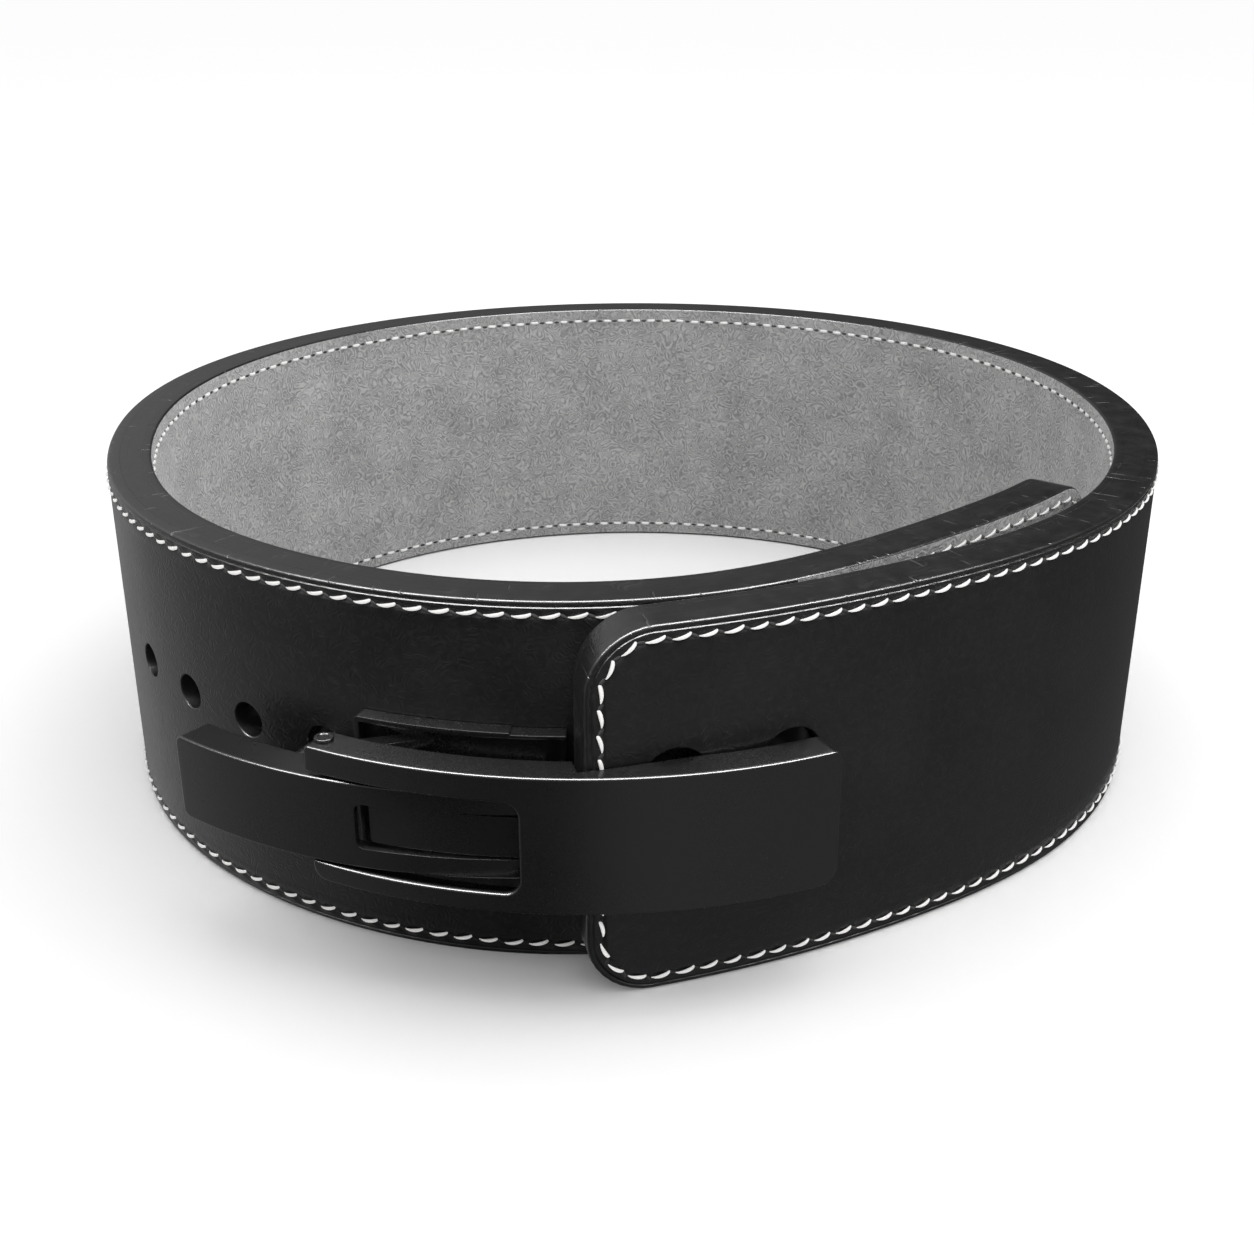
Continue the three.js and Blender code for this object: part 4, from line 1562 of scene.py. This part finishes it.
    def pins(self) -> None:
        """Builds the two pivot pins with their heads, and the link pin."""
        bench, steel = self.bench, self.strap.finishes.steel
        length = self.sheet + self.ear_sheet + self.clearance * 2
        head = self.pivot_head_height + self.head_dome
        for name, shoulder, tip, out in (
            ("pivot_pin_upper", self.lever_high + self.head_play, self.lever_high - length, 1),
            ("pivot_pin_lower", self.lever_low - self.head_play, self.lever_low + length, -1),
        ):
            top = shoulder + out * head
            cap = bench.rod(
                name + "_form", (*self.pivot, (shoulder + top) / 2), self.pivot_head_radius, head, 48,
            )
            bench.soften(cap, self.head_round, 3)
            bench.cut(cap, bench.rod(
                "ring", (*self.pivot, top), self.pivot_head_radius * self.ring_share, 2 * self.ring_depth, 40,
            ))
            bench.soften(cap, self.ring_round, 1)
            shank = bench.rod(
                "shank", (*self.pivot, (shoulder + tip) / 2), self.pivot_radius, abs(shoulder - tip), 32,
            )
            bench.soften(shank, self.shank_round, 1)
            bench.join(cap, shank)
            bench.settle(cap, Body.LEVER, Slot.STEEL, steel, [name])
        low, high = self.hook_low + self.clearance, self.hook_high - self.clearance
        link = bench.rod("link_pin_form", (*self.link, (low + high) / 2), self.link_radius, high - low, 32)
        bench.soften(link, 0.3, 2)
        bench.settle(link, Body.BELT, Slot.STEEL, steel, ["link_pin"])

    def posts(self) -> None:
        """Builds the two posts: a barrel with a slotted head in its hole, and a shank to the bar."""
        bench, strap, face = self.bench, self.strap, self.strap.path.face
        quarter = (math.pi / 2, 0.0, 0.0)
        for i, arc in enumerate(strap.post_hole_arcs):
            height, top = strap.post_hole_height, face - self.post_recess
            barrel = bench.rod(
                f"mount_post_{i + 1}_form", (arc, (face - top) / 2, height),
                strap.post_hole_radius - self.clearance, face + top, 48, quarter,
            )
            bench.soften(barrel, 0.5, 3)
            reach, half = self.post_slot_reach, self.post_slot_half
            bench.cut(barrel, bench.block(
                "slot", (arc - reach, face - self.post_slot_depth, height - half),
                (arc + reach, face + 1, height + half),
            ))
            place = (arc, -face / 2, height - self.post_shank_drop)
            shank = bench.rod("shank", place, self.post_shank_radius, face, 32, quarter)
            bench.join(barrel, shank)
            bench.wrap(barrel, strap.line)
            bench.settle(barrel, Body.BELT, Slot.STEEL, strap.finishes.steel, [f"mount_post_{i + 1}"])

    def build(self) -> None:
        """Builds the buckle's pieces in order."""
        self.lever()
        self.hook_plate()
        self.base_plate()
        self.pins()
        self.posts()


# The studio.
@dataclass(frozen=True)
class Studio:
    """A white floor and dome, darker cards and a strip for the reflections, and the camera."""

    camera_place: Point = (3.5, -515.5, 243.7)
    camera_tilt: float = 66.56
    lens: float = 45.7
    floor_half: float = 30.0
    floor_level: float = 0.98
    sky_lean: float = 0.4
    dim: float = 0.02
    front: float = 0.34
    side: float = 0.36
    high: float = 0.3
    high_lean: float = 0.9
    strip_place: Point = (0.0, -0.5, 1.4)
    strip_size: Tuple[float, float] = (3.2, 0.4)
    strip_power: float = 260.0
    top_place: Point = (0.0, 0.05, 1.6)
    top_size: Tuple[float, float] = (1.2, 1.2)
    top_power: float = 7.0

    def _light(
        self, name: str, place: Point, size: Tuple[float, float], power: float, gleams: bool,
    ) -> None:
        """Adds an area light that faces the belt, for gleams alone or for matt faces alone.

        Args:
            name: The light's name.
            place: Where it is, in metres.
            size: Its length and depth in metres.
            power: Its power in watts.
            gleams: Whether it is for gleams.
        """
        data = bpy.data.lights.new(name, "AREA")
        data.shape = "RECTANGLE"
        data.size, data.size_y = size
        data.energy = power
        obj = bpy.data.objects.new(name, data)
        obj.location = place
        obj.rotation_euler = (Vector((0, 0, 0.05)) - Vector(place)).to_track_quat("-Z", "Y").to_euler()
        obj.visible_diffuse = not gleams
        obj.visible_glossy = gleams
        bpy.context.scene.collection.objects.link(obj)

    def _surroundings(self) -> None:
        """Makes a white dome, a little brighter on the right, and darker cards for the reflections.

        The reflections see a dim card in front on the left, a lighter one in front on the right,
        a light one far to the left, and above them one that darkens from left to right.
        """
        world = bpy.data.worlds.new("studio")
        bpy.context.scene.world = world
        world.use_nodes = True
        world.cycles.sampling_method = "NONE"
        make = Nodes(world.node_tree)
        x, y, z = make.split(make.node("TexCoord").outputs["Generated"])
        back = y + 1
        front = x.rise(-0.15, 0.15) * (1 - back * 0.45) * self.front
        side = (x * -1).rise(0.2, 0.7) * back * self.side
        low = front + side + self.dim
        high = (self.high - x * self.high_lean).most(2 * self.dim).least(1)
        cards = low + (high - low) * z.rise(-0.05, 0.5)
        gleam = make.signal(make.node("LightPath").outputs["Is Glossy Ray"])
        background = world.node_tree.nodes["Background"]
        background.inputs["Color"].default_value = (1, 1, 1, 1)
        make.feed(background.inputs["Strength"], gleam * cards + (1 - gleam) * (x * self.sky_lean + 1))

    def build(self, shift: Vector) -> None:
        """Builds the floor, the lights, the surroundings and the camera."""
        scene = bpy.context.scene
        bpy.ops.object.select_all(action="DESELECT")
        bpy.ops.mesh.primitive_plane_add(size=2 * self.floor_half, location=(0, 0, -0.0002))
        floor = bpy.context.object
        floor.name = "floor"
        floor.visible_glossy = False
        make = Dressing("studio floor")
        clouds = make.noise(make.place(), 3.0, 2)
        level = self.floor_level
        colour = make.mix(clouds, grey(level), grey(level * 0.997))
        floor.data.materials.append(make.finish(colour, 0.9, fixed={"Specular IOR Level": 0.0}))
        self._surroundings()
        self._light("strip", self.strip_place, self.strip_size, self.strip_power, True)
        self._light("top", self.top_place, self.top_size, self.top_power, False)
        data = bpy.data.cameras.new("camera")
        data.lens = self.lens
        data.sensor_width = 36
        camera = bpy.data.objects.new("camera", data)
        camera.location = Vector(self.camera_place) * MM + shift
        camera.rotation_euler = (math.radians(self.camera_tilt), 0, 0)
        scene.collection.objects.link(camera)
        scene.camera = camera
        scene.view_settings.view_transform = "Standard"
        scene.view_settings.look = "None"


def frame_shift(path: StrapPath) -> Vector:
    """Finds where the loop's centre lies in the part's frame, from the upper pivot pin's box."""
    pivot = LeverPlace().pivot(path)
    low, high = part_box("pivot_pin_upper")
    middle = (low + high) / 2
    return Vector((middle.x - pivot[0] * MM, middle.y - pivot[1] * MM, 0))


def main() -> None:
    """Builds the belt, its buckle and the studio."""
    path = StrapPath()
    shift = frame_shift(path)
    log.info("shift %.5f %.5f, strap length %.2f mm", shift.x, shift.y, path.length)
    finishes = Finishes()
    strap = Strap(path, Bench(shift), finishes)
    strap.build()
    Stitching(strap, Side.OUTER).build()
    inner = Stitching(
        strap, Side.INNER, inset=4.8, length=3.6, width=1.1, thickness=0.7, tilt=0.0, curl=0.0, taper=0.0,
        seed=11,
    )
    inner.build()
    Buckle(strap).build()
    Studio().build(shift)
    for curve in [obj for obj in bpy.data.objects if obj.type == "CURVE"]:
        bpy.data.objects.remove(curve)


if __name__ == "__main__":
    main()
